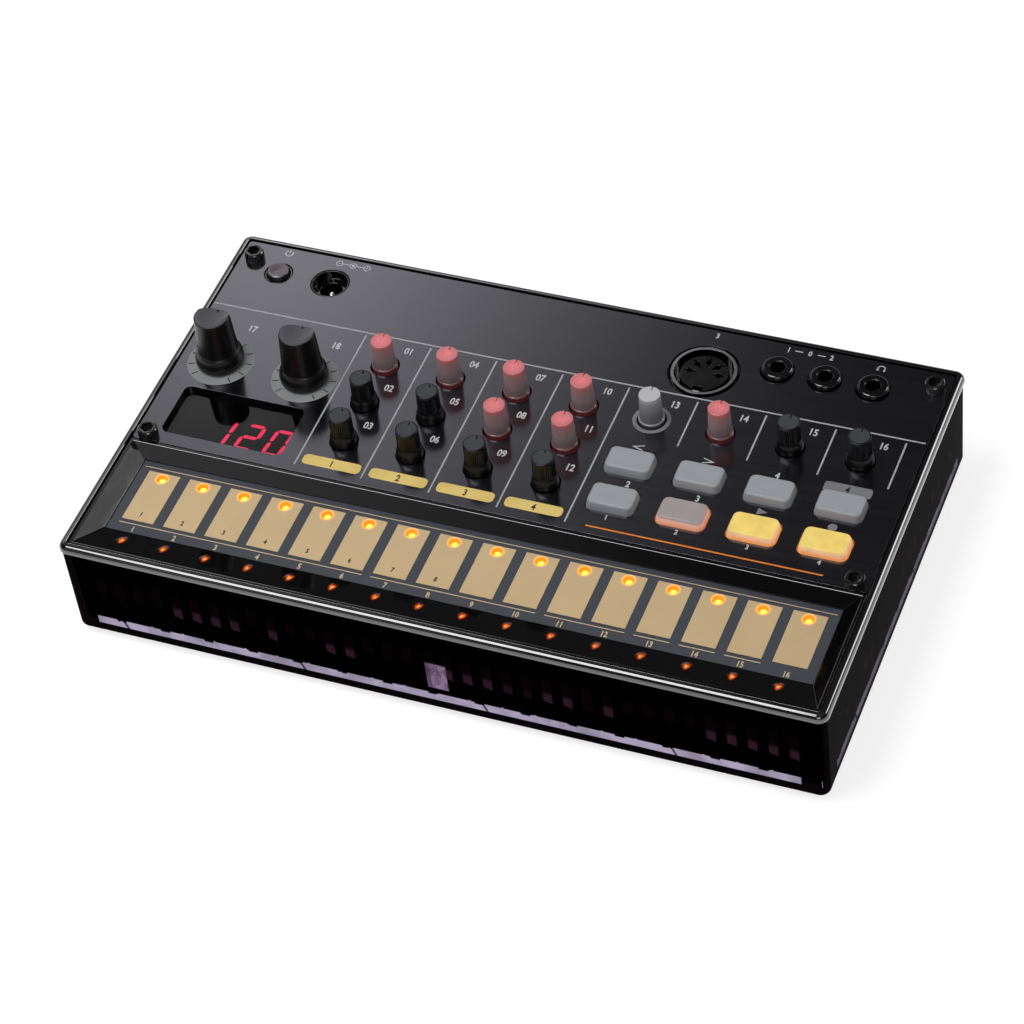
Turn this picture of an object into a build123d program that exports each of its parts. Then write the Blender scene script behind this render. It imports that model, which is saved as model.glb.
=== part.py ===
from build123d import *
import math
import os

# Table-top drum machine.  Frame: X to the right, Y to the back, Z up, millimetres.
# The origin is the middle of the footprint, on the surface that the feet stand on.

# --- Case tray -------------------------------------------------------------------
CASE_W = 193.0  # outer width across the rim
CASE_D = 115.0  # outer depth across the rim
CASE_H = 29.2  # tray height, from its underside to its rim
FOOT_DROP = 1.6  # how far the feet stand out below the tray
DRAFT_IN = 1.5  # how much narrower the tray is at the bottom, per side
WALL_T = 1.9
FLOOR_T = 2.6
CORNER_R = 2.6
BASE_EDGE_R = 1.8
RIM_EDGE_R = 0.45
RIB_T = 1.2
RIB_PITCH = 9.6
RIB_BEARING = 1.4  # how far a rib reaches in under the panel or the bezel

# --- Top panel -------------------------------------------------------------------
PANEL_T = 1.6
PANEL_BELOW_RIM = 0.4
EDGE_GAP = 0.4  # between the tray wall and the panel or the bezel
PANEL_CORNER_R = 0.8

# --- Step strip: bezel, board, pads ------------------------------------------------
STRIP_JOINT = 0.3  # gap between bezel and panel
TONGUE_L = 1.5  # how far the bezel's tongue reaches in under the panel
TONGUE_INSET = 6.0  # from the end of the face to the end of the tongue
BEZEL_LAND = 0.8  # flat edge around the top of the bezel
BEZEL_FRONT_RUN = 9.0  # plan width of the front slope
BEZEL_BACK_RUN = 2.7
BEZEL_SIDE_RUN = 3.9
STRIP_DROP = 3.4  # from the bezel top down to the board face
BEZEL_LIP = 0.4  # upright edge where a slope ends above the board
STEP_COUNT = 16
PAD_GAP = 2.65
PAD_T = 0.15
PAD_FRONT_MARGIN = 4.2  # bare board in front of the pads
PAD_BACK_MARGIN = 3.0
STEP_LED_D = 2.6
STEP_LED_HOLE_D = 2.9
STEP_LED_SETBACK = 1.85  # from the back edge of a pad to the middle of its light
STEP_LED_DEPTH = 0.6  # tip of the light below the board face
STEP_LED_BEVEL = 0.6  # around the tip
BOARD_T = 1.6
BOARD_UNDER_LIP = 2.0  # how far the board reaches under the bezel at sides and back
BOARD_FRONT_REACH = 6.5

# --- Control grid ------------------------------------------------------------------
COLUMN_COUNT = 8
FIRST_COLUMN_MARGIN = 51.55  # from the left panel edge to the first column
LAST_COLUMN_MARGIN = 13.8  # from the last column to the right panel edge
KNOB_ROW_MARGIN = 12.9  # from the front panel edge to the nearest knob row
KNOB_ROW_PITCH = 13.4
KNOBS_TO_SOCKET = 19.1  # from the back knob row to the middle of the round socket
KEY_ROW_MARGIN = 11.6
KEY_ROW_PITCH = 12.5

# --- Small knobs: one moulding each, with its own shaft ------------------------------
SMALL_HOLE_D = 7.4
SMALL_KNOB_TOP_D = 5.3
SMALL_KNOB_BASE_D = 5.8
SMALL_FLANGE_D = 6.6
SMALL_FLANGE_T = 1.7
SMALL_FLANGE_SINK = 0.6  # underside of the flange below the panel top
SMALL_SKIRT_D = 7.0
SMALL_KNOB_RISE = 8.8  # knob top above the panel top
SMALL_SHAFT_D = 3.0
SMALL_POT_W = 9.6
SMALL_POT_D = 10.4
SMALL_POT_H = 4.2
SMALL_BUSH_D = 6.0
SMALL_BUSH_GAP = 0.3  # between the bush and the knob flange
NOTCH_W = 0.7
NOTCH_L = 1.3
NOTCH_DEPTH = 0.7
KNOB_DISH = 0.1  # how far the middle of the top lies below its edge

# --- Large knobs ---------------------------------------------------------------------
LARGE_KNOB_LEFT = 10.6  # from the left panel edge to the first large knob
LARGE_KNOB_PITCH = 23.05
LARGE_KNOB_ROW = 30.3  # from the front panel edge
LARGE_KNOB_RISE = 15.6
LARGE_SKIRT_D = 12.2
LARGE_SKIRT_H = 2.0
LARGE_WAIST_D = 10.4
LARGE_TOP_D = 9.0
LARGE_KNOB_LIFT = 0.4  # underside of the skirt above the panel top
LARGE_SCOOP_R = 9.0
LARGE_SCOOP_TILT = 9.0  # degrees, falling to the back
LARGE_SCOOP_FRONT = 0.5  # depth of the scoop at the middle of the knob
LARGE_SHAFT_D = 6.0
LARGE_SHAFT_FLAT = 1.4
LARGE_SHAFT_BELOW = 4.0  # tip of the shaft below the top of the knob
LARGE_BUSH_D = 8.0
LARGE_HOLE_D = 8.4
LARGE_POT_W = 12.0
LARGE_POT_H = 5.5
SHAFT_FIT = 0.06  # radial running clearance of a shaft in its bush
KNOB_BORE_FIT = 0.03  # radial clearance of a knob on its own shaft

# --- Keys ----------------------------------------------------------------------------
KEY_W = 12.0
KEY_D = 7.7
KEY_RISE = 2.0
KEY_TAPER = 0.45  # how much smaller the top face is, per side
KEY_CORNER_R = 1.7
KEY_EDGE_R = 0.55
KEY_GAP = 0.3
KEY_FLANGE_W = 0.9
KEY_FLANGE_T = 0.8
KEY_TRAVEL = 1.2
KEY_STEM_D = 3.0
SWITCH_W = 6.2
SWITCH_H = 3.4
SWITCH_BORE_FIT = 0.3  # radial play of a key or button in its housing
SEAT_GAP = 0.1  # between a moving flange and the underside of the panel

# --- Display ---------------------------------------------------------------------------
WINDOW_W = 31.2
WINDOW_D = 15.1
WINDOW_R = 2.0
WINDOW_LEFT = 6.5  # from the left panel edge
WINDOW_FRONT = 4.1  # from the front panel edge
LENS_T = 1.2
LENS_LAP = 1.6
MODULE_W = 30.2
MODULE_D = 14.0
MODULE_RECESS = 0.3

# --- Connectors along the back -----------------------------------------------------------
CONNECTOR_ROW = 9.4  # from the back panel edge
POWER_LEFT = 12.0
POWER_HOLE_D = 7.6
POWER_COLLAR_D = 7.2
POWER_CAP_D = 5.6
POWER_RISE = 1.2
POWER_TRAVEL = 1.5
POWER_SWITCH_W = 8.0
DC_LEFT = 26.4
DC_HOLE_D = 10.2
DC_COLLAR_D = 9.8
DC_WELL_D = 9.0
DC_WELL_DEPTH = 2.6
DC_BORE_D = 5.7
DC_BORE_DEPTH = 11.5
DC_PIN_D = 1.7
DC_PIN_BELOW = 3.5  # tip of the pin below the panel top
DC_BODY_W = 11.4
DIN_RIGHT = 59.6
DIN_ROW = 14.5
DIN_HOLE_D = 18.1
DIN_RING_D = 16.4
DIN_RING_T = 0.75
DIN_RING_RISE = 0.3
DIN_CORE_D = 12.0
DIN_CORE_BELOW = 0.5
DIN_WELL_DEPTH = 9.0
DIN_BODY_W = 20.0
DIN_BODY_D = 19.0
DIN_BODY_H = 14.5
DIN_PIN_CIRCLE = 7.5
DIN_SOCKET_D = 1.5
DIN_SLOT_W = 0.55
DIN_SLOT_L = 3.2
JACK_RIGHT = 42.35
JACK_PITCH = 12.15
JACK_HOLE_D = 8.8
JACK_FERRULE_D = 8.0
JACK_RISE = 1.4
JACK_BORE_D = 3.6
JACK_BORE_DEPTH = 14.2
JACK_BODY_W = 9.4
JACK_BODY_FLOOR = 1.0
JACK_EDGE_R = 0.8
JACK_MOUTH_CHAMFER = 0.35

# --- Main board and fixings ----------------------------------------------------------------
BOARD_DROP = 7.4  # from the underside of the panel to the main board
BOARD_SIDE_GAP = 3.7  # from the panel edge to the main board edge
BOARD_BACK_GAP = 2.2
BOARD_FRONT_GAP = 2.6
BOSS_D = 7.0
BOSS_GAP = 0.3  # around a boss, in the pieces notched for it
BOARD_BOSS_GAP = 0.8
BODY_GAP = 0.2  # between a connector body and the board cut out around it
SCREW_INSET_X = 5.9  # from the outer side wall to a panel screw
SCREW_INSET_BACK = 7.7
SCREW_FRONT_ROW = 1.9  # from the front panel edge
SCREW_D = 3.0
SCREW_HEAD_D = 5.0
SCREW_HEAD_H = 3.0
SCREW_L = 10.0
SCREW_HEX = 2.5
SCREW_CLEAR = 0.2
INSERT_D = 4.6
INSERT_L = 6.0
THREAD_FIT = 0.05
STANDOFF_D = 5.0
STANDOFF_MARGIN = 8.0  # from the panel edge
STANDOFF_SETBACK = 4.6  # in front of the back knob row
BOARD_SCREW_D = 2.0
BOARD_SCREW_HEAD_D = 3.8
BOARD_SCREW_HEAD_H = 1.3

# --- Battery bay and door ---------------------------------------------------------------------
CELL_COUNT = 6
CELL_D = 14.5
CELL_L = 50.5
CELL_PLAY = 0.35
CONTACT_ROOM = 3.2  # at each end of the cells
BAY_WALL = 1.5
BAY_X = -18.0
BAY_Y = 0.5
BAY_ROOF_GAP = 0.3  # below the main board
DOOR_T = 1.7
DOOR_GAP = 0.3
DOOR_LAP = 2.7  # how far the door covers the ledge around the bay
TAB_W = 10.0
TAB_L = 2.0
TAB_T = 0.8
TAB_SPREAD = 50.0
LATCH_W = 14.0
LATCH_L = 9.0
LATCH_SLIT = 0.8
GROOVE_W = 0.8  # grip grooves across the latch
GROOVE_PITCH = 1.8
GROOVE_DEPTH = 0.5
GROOVE_MARGIN = 1.5  # from the end of a groove to the side of the latch
GROOVE_FRONT = 2.0  # from the front edge of the door to the first groove
SCOOP_D = 5.0
SCOOP_DEPTH = 1.2
LEAF_W = 9.0
LEAF_H = 9.5
LEAF_T = 0.4
LEAF_BOW = 2.0

# --- Speaker -------------------------------------------------------------------------------------
SPEAKER_RIGHT = 32.0  # from the right panel edge
SPEAKER_ROW = 10.0  # behind the front panel edge
SPEAKER_D = 38.0
SPEAKER_H = 11.5
SPEAKER_RIM_W = 3.0
SPEAKER_RIM_T = 1.2
SPEAKER_SHEET = 0.8
MAGNET_D = 20.0
MAGNET_H = 4.5
CONE_T = 0.6
CONE_GAP = 0.1
SLOT_W = 1.8
SLOT_PITCH = 3.6

# --- Feet and ribbon -------------------------------------------------------------------------------
FOOT_D = 10.0
FOOT_SINK = 0.6
FOOT_INSET = 12.5  # from the outer walls to the middle of a foot
FOOT_FIT = 0.2
RIBBON_W = 20.0
RIBBON_T = 0.6
PLUG_H = 2.5
PLUG_D = 4.0
RIBBON_LEFT = 70.2  # from the left panel edge

# --- Levels and places worked out from the sizes above -------------------------------------------------
BASE_Z = FOOT_DROP
FLOOR_Z = BASE_Z + FLOOR_T
RIM_Z = BASE_Z + CASE_H
PANEL_Z = RIM_Z - PANEL_BELOW_RIM
PANEL_UNDER_Z = PANEL_Z - PANEL_T
STRIP_Z = PANEL_Z - STRIP_DROP
STRIP_UNDER_Z = STRIP_Z - BOARD_T
MAIN_Z = PANEL_UNDER_Z - BOARD_DROP
MAIN_UNDER_Z = MAIN_Z - BOARD_T

# The controls set the depth of the panel, and the step strip takes what is left of the case.
PANEL_HX = CASE_W / 2 - WALL_T - EDGE_GAP
PANEL_BACK = CASE_D / 2 - WALL_T - EDGE_GAP
DIN_X = PANEL_HX - DIN_RIGHT
DIN_Y = PANEL_BACK - DIN_ROW
PANEL_FRONT = DIN_Y - KNOBS_TO_SOCKET - 2 * KNOB_ROW_PITCH - KNOB_ROW_MARGIN
STRIP_FRONT = -PANEL_BACK
STRIP_BACK = PANEL_FRONT - STRIP_JOINT

FIRST_COLUMN = -PANEL_HX + FIRST_COLUMN_MARGIN
LAST_COLUMN = PANEL_HX - LAST_COLUMN_MARGIN
COLUMN_PITCH = (LAST_COLUMN - FIRST_COLUMN) / (COLUMN_COUNT - 1)
COLUMNS = [FIRST_COLUMN + i * COLUMN_PITCH for i in range(COLUMN_COUNT)]
KNOB_ROWS = [PANEL_FRONT + KNOB_ROW_MARGIN + i * KNOB_ROW_PITCH for i in (2, 1, 0)]
KEY_ROWS = [PANEL_FRONT + KEY_ROW_MARGIN + i * KEY_ROW_PITCH for i in (1, 0)]

SCREW_X = CASE_W / 2 - SCREW_INSET_X
SCREW_SPOTS = [
    (sx * SCREW_X, y)
    for y in (CASE_D / 2 - SCREW_INSET_BACK, PANEL_FRONT + SCREW_FRONT_ROW)
    for sx in (-1, 1)
]
FOOT_SPOTS = [
    (sx * (CASE_W / 2 - FOOT_INSET), sy * (CASE_D / 2 - FOOT_INSET)) for sx in (-1, 1) for sy in (-1, 1)
]

# The strip's opening at the top of the bezel, and the smaller one at the board.
MOUTH_HX = PANEL_HX - BEZEL_LAND
MOUTH_FRONT = STRIP_FRONT + BEZEL_LAND
MOUTH_BACK = STRIP_BACK - BEZEL_LAND
FACE_HX = MOUTH_HX - BEZEL_SIDE_RUN
FACE_FRONT = MOUTH_FRONT + BEZEL_FRONT_RUN
FACE_BACK = MOUTH_BACK - BEZEL_BACK_RUN
PAD_PITCH = 2 * (FACE_HX - PAD_GAP / 2) / STEP_COUNT
PAD_W = PAD_PITCH - PAD_GAP
PAD_FRONT = FACE_FRONT + PAD_FRONT_MARGIN
PAD_BACK = FACE_BACK - PAD_BACK_MARGIN
STEP_X = [(i - (STEP_COUNT - 1) / 2) * PAD_PITCH for i in range(STEP_COUNT)]
STEP_LED_Y = PAD_BACK - STEP_LED_SETBACK

CONNECTOR_Y = PANEL_BACK - CONNECTOR_ROW
POWER_X = -PANEL_HX + POWER_LEFT
DC_X = -PANEL_HX + DC_LEFT
JACK_X =[PANEL_HX - JACK_RIGHT + i * JACK_PITCH for i in range(3)]
WINDOW_X = -PANEL_HX + WINDOW_LEFT + WINDOW_W / 2
WINDOW_Y = PANEL_FRONT + WINDOW_FRONT + WINDOW_D / 2
LARGE_X = [-PANEL_HX + LARGE_KNOB_LEFT + i * LARGE_KNOB_PITCH for i in range(2)]
LARGE_Y = PANEL_FRONT + LARGE_KNOB_ROW

BAY_W = CELL_COUNT * (CELL_D + CELL_PLAY)
BAY_D = CELL_L + 2 * CONTACT_ROOM
BAY_TOP_Z = MAIN_UNDER_Z - BAY_ROOF_GAP
BAY_CEILING_Z = BAY_TOP_Z - BAY_WALL / 1.5
DOOR_W = BAY_W + 2 * DOOR_LAP
DOOR_D = BAY_D + 2 * DOOR_LAP
DOOR_BACK = BAY_Y + DOOR_D / 2
DOOR_FRONT = BAY_Y - DOOR_D / 2
SPEAKER_X = PANEL_HX - SPEAKER_RIGHT
SPEAKER_Y = PANEL_FRONT + SPEAKER_ROW
SLOT_REACH = SPEAKER_D / 2 - SPEAKER_RIM_W  # the sound slots stay inside the rim
SLOT_COUNT = 2 * int((SLOT_REACH - SLOT_W / 2) / SLOT_PITCH) + 1
RIBBON_X = -PANEL_HX + RIBBON_LEFT

# The small knobs with their mouldings: a list for each column, from the back row forward.
KNOB_GRID = [
    [("kick_click_knob", "clear"), ("kick_pitch_knob", "black"), ("kick_decay_knob", "black")],
    [("snare_snappy_knob", "clear"), ("snare_pitch_knob", "black"), ("snare_decay_knob", "black")],
    [("tom_low_pitch_knob", "clear"), ("tom_high_pitch_knob", "clear"), ("tom_decay_knob", "black")],
    [("hat_closed_decay_knob", "clear"), ("hat_open_decay_knob", "clear"), ("hat_grain_knob", "black")],
    [("sample_speed_knob", "clear")],
    [("tempo_knob", "clear")],
    [("part_level_knob", "black")],
    [("volume_knob", "black")],
]
# The keys: a list for each row, in the last columns of the grid.
KEY_GRID = [
    ["part_back_key", "part_next_key", "mute_key", "function_key"],
    ["memory_key", "step_mode_key", "play_key", "record_key"],
]
SMALL_KNOBS = [
    (name, x, y, moulding)
    for column, x in zip(KNOB_GRID, COLUMNS)
    for (name, moulding), y in zip(column, KNOB_ROWS)
]
KEYS = [(name, x, y) for row, y in zip(KEY_GRID, KEY_ROWS) for name, x in zip(row, COLUMNS[-len(row) :])]
KNOB_SPOTS = [(x, y) for _, x, y, _ in SMALL_KNOBS]
KEY_SPOTS = [(x, y) for _, x, y in KEYS]
LARGE_SPOTS = [(x, LARGE_Y) for x in LARGE_X]
JACK_SPOTS = [(x, CONNECTOR_Y) for x in JACK_X]
STANDOFF_SPOTS = [
    ((LARGE_X[0] + LARGE_X[1]) / 2, LARGE_Y),
    (-PANEL_HX + STANDOFF_MARGIN, (LARGE_Y + CONNECTOR_Y) / 2),
    (COLUMNS[0] - COLUMN_PITCH / 2, DIN_Y),
    (COLUMNS[2], DIN_Y),
    (COLUMNS[4] + COLUMN_PITCH / 2, KNOB_ROWS[0] - STANDOFF_SETBACK),
    (COLUMNS[6] + COLUMN_PITCH / 2, KNOB_ROWS[0] - STANDOFF_SETBACK),
    (PANEL_HX - STANDOFF_MARGIN, (KNOB_ROWS[0] + CONNECTOR_Y) / 2),
]

os.makedirs("parts", exist_ok=True)


def upright(x, y):
    """Plane through a vertical axis at x, y: its own x runs along X and its y along Z."""
    return Plane(origin=(x, y, 0), x_dir=(1, 0, 0), z_dir=(0, -1, 0))


def level(z):
    """Horizontal plane at height z."""
    return Plane.XY.offset(z)


RIB_REACH = WALL_T + EDGE_GAP + RIB_BEARING  # from the outer wall to the inner end of a rib


def edge_spots(first, last, pitch):
    """Evenly pitched places between two limits, centred between them."""
    count = int((last - first) / pitch) + 1
    middle = (first + last) / 2
    return [middle + (i - (count - 1) / 2) * pitch for i in range(count)]


def front_ribs():
    """Sketch the ribs that carry the bezel: along the front wall and beside the strip."""
    across = SCREW_X - BOSS_D
    with Locations(*[(x, RIB_REACH / 2 - CASE_D / 2) for x in edge_spots(-across, across, RIB_PITCH)]):
        Rectangle(RIB_T, RIB_REACH)
    beside = edge_spots(STRIP_FRONT + RIB_PITCH / 2, STRIP_BACK - BOSS_D, RIB_PITCH)
    with Locations(*[(s * (CASE_W - RIB_REACH) / 2, y) for y in beside for s in (-1, 1)]):
        Rectangle(RIB_REACH, RIB_T)


def back_ribs():
    """Sketch the ribs that carry the panel: along the back wall and the sides behind the strip."""
    across = SCREW_X - BOSS_D
    with Locations(*[(x, (CASE_D - RIB_REACH) / 2) for x in edge_spots(-across, across, RIB_PITCH)]):
        Rectangle(RIB_T, RIB_REACH)
    beside = edge_spots(SCREW_SPOTS[2][1] + BOSS_D, SCREW_SPOTS[0][1] - BOSS_D, RIB_PITCH)
    with Locations(*[(s * (CASE_W - RIB_REACH) / 2, y) for y in beside for s in (-1, 1)]):
        Rectangle(RIB_REACH, RIB_T)


# === Tray ===============================================================================
# The space inside the tray: everything between the walls except ribs, bosses and bay.
with BuildPart() as tray_room:
    with BuildSketch(level(FLOOR_Z)):
        low_in = DRAFT_IN * (1 - FLOOR_T / CASE_H)
        RectangleRounded(
            CASE_W - 2 * WALL_T - 2 * low_in, CASE_D - 2 * WALL_T - 2 * low_in, CORNER_R - WALL_T + 0.3
        )
    with BuildSketch(level(RIM_Z)):
        RectangleRounded(CASE_W - 2 * WALL_T, CASE_D - 2 * WALL_T, CORNER_R - WALL_T + 0.3)
    loft(ruled=True)
    with BuildSketch(level(FLOOR_Z)):
        front_ribs()
    extrude(amount=STRIP_Z - FLOOR_Z, mode=Mode.SUBTRACT)
    with BuildSketch(level(FLOOR_Z)):
        back_ribs()
        with Locations(*SCREW_SPOTS):
            Circle(BOSS_D / 2)
    extrude(amount=PANEL_UNDER_Z - FLOOR_Z, mode=Mode.SUBTRACT)
    with BuildSketch(level(FLOOR_Z)):
        with Locations((BAY_X, BAY_Y)):
            Rectangle(BAY_W + 2 * BAY_WALL, BAY_D + 2 * BAY_WALL)
    extrude(amount=BAY_TOP_Z - FLOOR_Z, mode=Mode.SUBTRACT)

with BuildPart() as lower_case:
    with BuildSketch(level(BASE_Z)):
        RectangleRounded(CASE_W - 2 * DRAFT_IN, CASE_D - 2 * DRAFT_IN, CORNER_R)
    with BuildSketch(level(RIM_Z)):
        RectangleRounded(CASE_W, CASE_D, CORNER_R)
    loft(ruled=True)
    fillet(lower_case.faces().sort_by(Axis.Z)[0].edges(), BASE_EDGE_R)
    fillet(lower_case.faces().sort_by(Axis.Z)[-1].edges(), RIM_EDGE_R)
    add(tray_room.part, mode=Mode.SUBTRACT)
    # Battery bay, open below, with a ledge around it for the door
    with BuildSketch(level(BASE_Z)):
        with Locations((BAY_X, BAY_Y)):
            Rectangle(BAY_W, BAY_D)
    extrude(amount=BAY_CEILING_Z - BASE_Z, mode=Mode.SUBTRACT)
    with BuildSketch(level(BASE_Z)):
        with Locations((BAY_X, BAY_Y)):
            Rectangle(DOOR_W + 2 * DOOR_GAP, DOOR_D + 2 * DOOR_GAP)
    extrude(amount=DOOR_T + SEAT_GAP, mode=Mode.SUBTRACT)
    # Slots behind the door for its two tabs, open to the inside so that they can tip up
    with BuildSketch(level(BASE_Z + DOOR_T - TAB_T - SEAT_GAP)):
        slot_front = BAY_Y + BAY_D / 2 + BAY_WALL
        slot_back = DOOR_BACK + TAB_L + DOOR_GAP
        with Locations(*[(BAY_X + s * TAB_SPREAD / 2, (slot_front + slot_back) / 2) for s in (-1, 1)]):
            Rectangle(TAB_W + 2 * DOOR_GAP, slot_back - slot_front)
    extrude(amount=FLOOR_T, mode=Mode.SUBTRACT)
    # Finger scoop in front of the door's latch
    with BuildSketch(level(BASE_Z)):
        with Locations((BAY_X, DOOR_FRONT - DOOR_GAP - SCOOP_D / 2)):
            RectangleRounded(LATCH_W, SCOOP_D + 1.0, 1.5)
    extrude(amount=SCOOP_DEPTH, mode=Mode.SUBTRACT)
    # Sound slots under the speaker, shortened to stay inside a circle
    with BuildSketch(level(BASE_Z)):
        for i in range(SLOT_COUNT):
            offset_y = (i - (SLOT_COUNT - 1) / 2) * SLOT_PITCH
            half = math.sqrt(SLOT_REACH**2 - offset_y**2)
            with Locations((SPEAKER_X, SPEAKER_Y + offset_y)):
                SlotOverall(2 * half, SLOT_W)
    extrude(amount=FLOOR_T, mode=Mode.SUBTRACT)
    # Pockets for the feet, and bores for the threaded inserts with room for the screw tips
    with BuildSketch(level(BASE_Z)):
        with Locations(*FOOT_SPOTS):
            Circle(FOOT_D / 2 + FOOT_FIT)
    extrude(amount=FOOT_SINK, mode=Mode.SUBTRACT)
    with BuildSketch(level(PANEL_UNDER_Z)):
        with Locations(*SCREW_SPOTS):
            Circle(INSERT_D / 2)
    extrude(amount=-INSERT_L, mode=Mode.SUBTRACT)
    with BuildSketch(level(PANEL_UNDER_Z - INSERT_L)):
        with Locations(*SCREW_SPOTS):
            Circle(SCREW_D / 2 + SCREW_CLEAR)
    extrude(amount=-(SCREW_L - INSERT_L), mode=Mode.SUBTRACT)
lower_case.part.label = "lower_case"
export_step(lower_case.part, "parts/lower_case.step")

with BuildPart() as battery_door:
    with BuildSketch(level(BASE_Z)):
        with Locations((BAY_X, BAY_Y)):
            Rectangle(DOOR_W, DOOR_D)
    extrude(amount=DOOR_T)
    with BuildSketch(level(BASE_Z + DOOR_T - TAB_T)):
        with Locations(*[(BAY_X + s * TAB_SPREAD / 2, DOOR_BACK + TAB_L / 2 - 0.5) for s in (-1, 1)]):
            Rectangle(TAB_W, TAB_L + 1.0 - SEAT_GAP)
    extrude(amount=TAB_T)
    # Two slits free a springy latch tongue in the front edge
    with BuildSketch(level(BASE_Z)):
        slit_x = (LATCH_W + LATCH_SLIT) / 2
        with Locations(*[(BAY_X + s * slit_x, DOOR_FRONT + LATCH_L / 2) for s in (-1, 1)]):
            Rectangle(LATCH_SLIT, LATCH_L)
    extrude(amount=DOOR_T, mode=Mode.SUBTRACT)
    # Grip grooves across the tongue
    with BuildSketch(level(BASE_Z)):
        with Locations(*[(BAY_X, DOOR_FRONT + GROOVE_FRONT + i * GROOVE_PITCH) for i in range(3)]):
            Rectangle(LATCH_W - 2 * GROOVE_MARGIN, GROOVE_W)
    extrude(amount=GROOVE_DEPTH, mode=Mode.SUBTRACT)
    # Stiffening ribs inside, between the cells
    with BuildSketch(level(BASE_Z + DOOR_T)):
        with Locations(*[(BAY_X + i * (CELL_D + CELL_PLAY), BAY_Y) for i in (-2, -1, 0, 1, 2)]):
            Rectangle(1.0, CELL_L / 2)
    extrude(amount=1.2)
battery_door.part.label = "battery_door"
export_step(battery_door.part, "parts/battery_door.step")

with BuildPart() as rubber_feet:
    with BuildSketch(level(0)):
        with Locations(*FOOT_SPOTS):
            Circle(FOOT_D / 2)
    extrude(amount=FOOT_DROP + FOOT_SINK)
    chamfer(rubber_feet.faces().filter_by(Axis.Z).group_by(Axis.Z)[0].edges(), 0.5)
rubber_feet.part.label = "rubber_feet"
export_step(rubber_feet.part, "parts/rubber_feet.step")

with BuildPart() as threaded_inserts:
    with BuildSketch(level(PANEL_UNDER_Z)):
        with Locations(*SCREW_SPOTS):
            Circle(INSERT_D / 2)
            Circle(SCREW_D / 2 + THREAD_FIT, mode=Mode.SUBTRACT)
    extrude(amount=-INSERT_L)
threaded_inserts.part.label = "threaded_inserts"
export_step(threaded_inserts.part, "parts/threaded_inserts.step")

# === Panel ==============================================================================
with BuildPart() as top_panel:
    with BuildSketch(level(PANEL_UNDER_Z)):
        with Locations((0, (PANEL_FRONT + PANEL_BACK) / 2)):
            RectangleRounded(2 * PANEL_HX, PANEL_BACK - PANEL_FRONT, PANEL_CORNER_R)
        with Locations(*KNOB_SPOTS):
            Circle(SMALL_HOLE_D / 2, mode=Mode.SUBTRACT)
        with Locations(*LARGE_SPOTS):
            Circle(LARGE_HOLE_D / 2, mode=Mode.SUBTRACT)
        with Locations(*KEY_SPOTS):
            RectangleRounded(
                KEY_W + 2 * KEY_GAP, KEY_D + 2 * KEY_GAP, KEY_CORNER_R + KEY_GAP, mode=Mode.SUBTRACT
            )
        with Locations(*SCREW_SPOTS):
            Circle(SCREW_D / 2 + SCREW_CLEAR, mode=Mode.SUBTRACT)
        with Locations((WINDOW_X, WINDOW_Y)):
            RectangleRounded(WINDOW_W, WINDOW_D, WINDOW_R, mode=Mode.SUBTRACT)
        with Locations((POWER_X, CONNECTOR_Y)):
            Circle(POWER_HOLE_D / 2, mode=Mode.SUBTRACT)
        with Locations((DC_X, CONNECTOR_Y)):
            Circle(DC_HOLE_D / 2, mode=Mode.SUBTRACT)
        with Locations((DIN_X, DIN_Y)):
            Circle(DIN_HOLE_D / 2, mode=Mode.SUBTRACT)
        with Locations(*JACK_SPOTS):
            Circle(JACK_HOLE_D / 2, mode=Mode.SUBTRACT)
    extrude(amount=PANEL_T)
top_panel.part.label = "top_panel"
export_step(top_panel.part, "parts/top_panel.step")

with BuildPart() as panel_screws:
    with BuildSketch(level(PANEL_Z)):
        with Locations(*SCREW_SPOTS):
            Circle(SCREW_HEAD_D / 2)
    extrude(amount=SCREW_HEAD_H)
    chamfer(panel_screws.faces().filter_by(Axis.Z).group_by(Axis.Z)[-1].edges(), 0.35)
    with BuildSketch(level(PANEL_Z + SCREW_HEAD_H)):
        with Locations(*SCREW_SPOTS):
            RegularPolygon(SCREW_HEX / 2, 6, major_radius=False)
    extrude(amount=-SCREW_HEAD_H * 0.6, mode=Mode.SUBTRACT)
    with BuildSketch(level(PANEL_Z)):
        with Locations(*SCREW_SPOTS):
            Circle(SCREW_D / 2)
    extrude(amount=-SCREW_L)
panel_screws.part.label = "panel_screws"
export_step(panel_screws.part, "parts/panel_screws.step")

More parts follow.
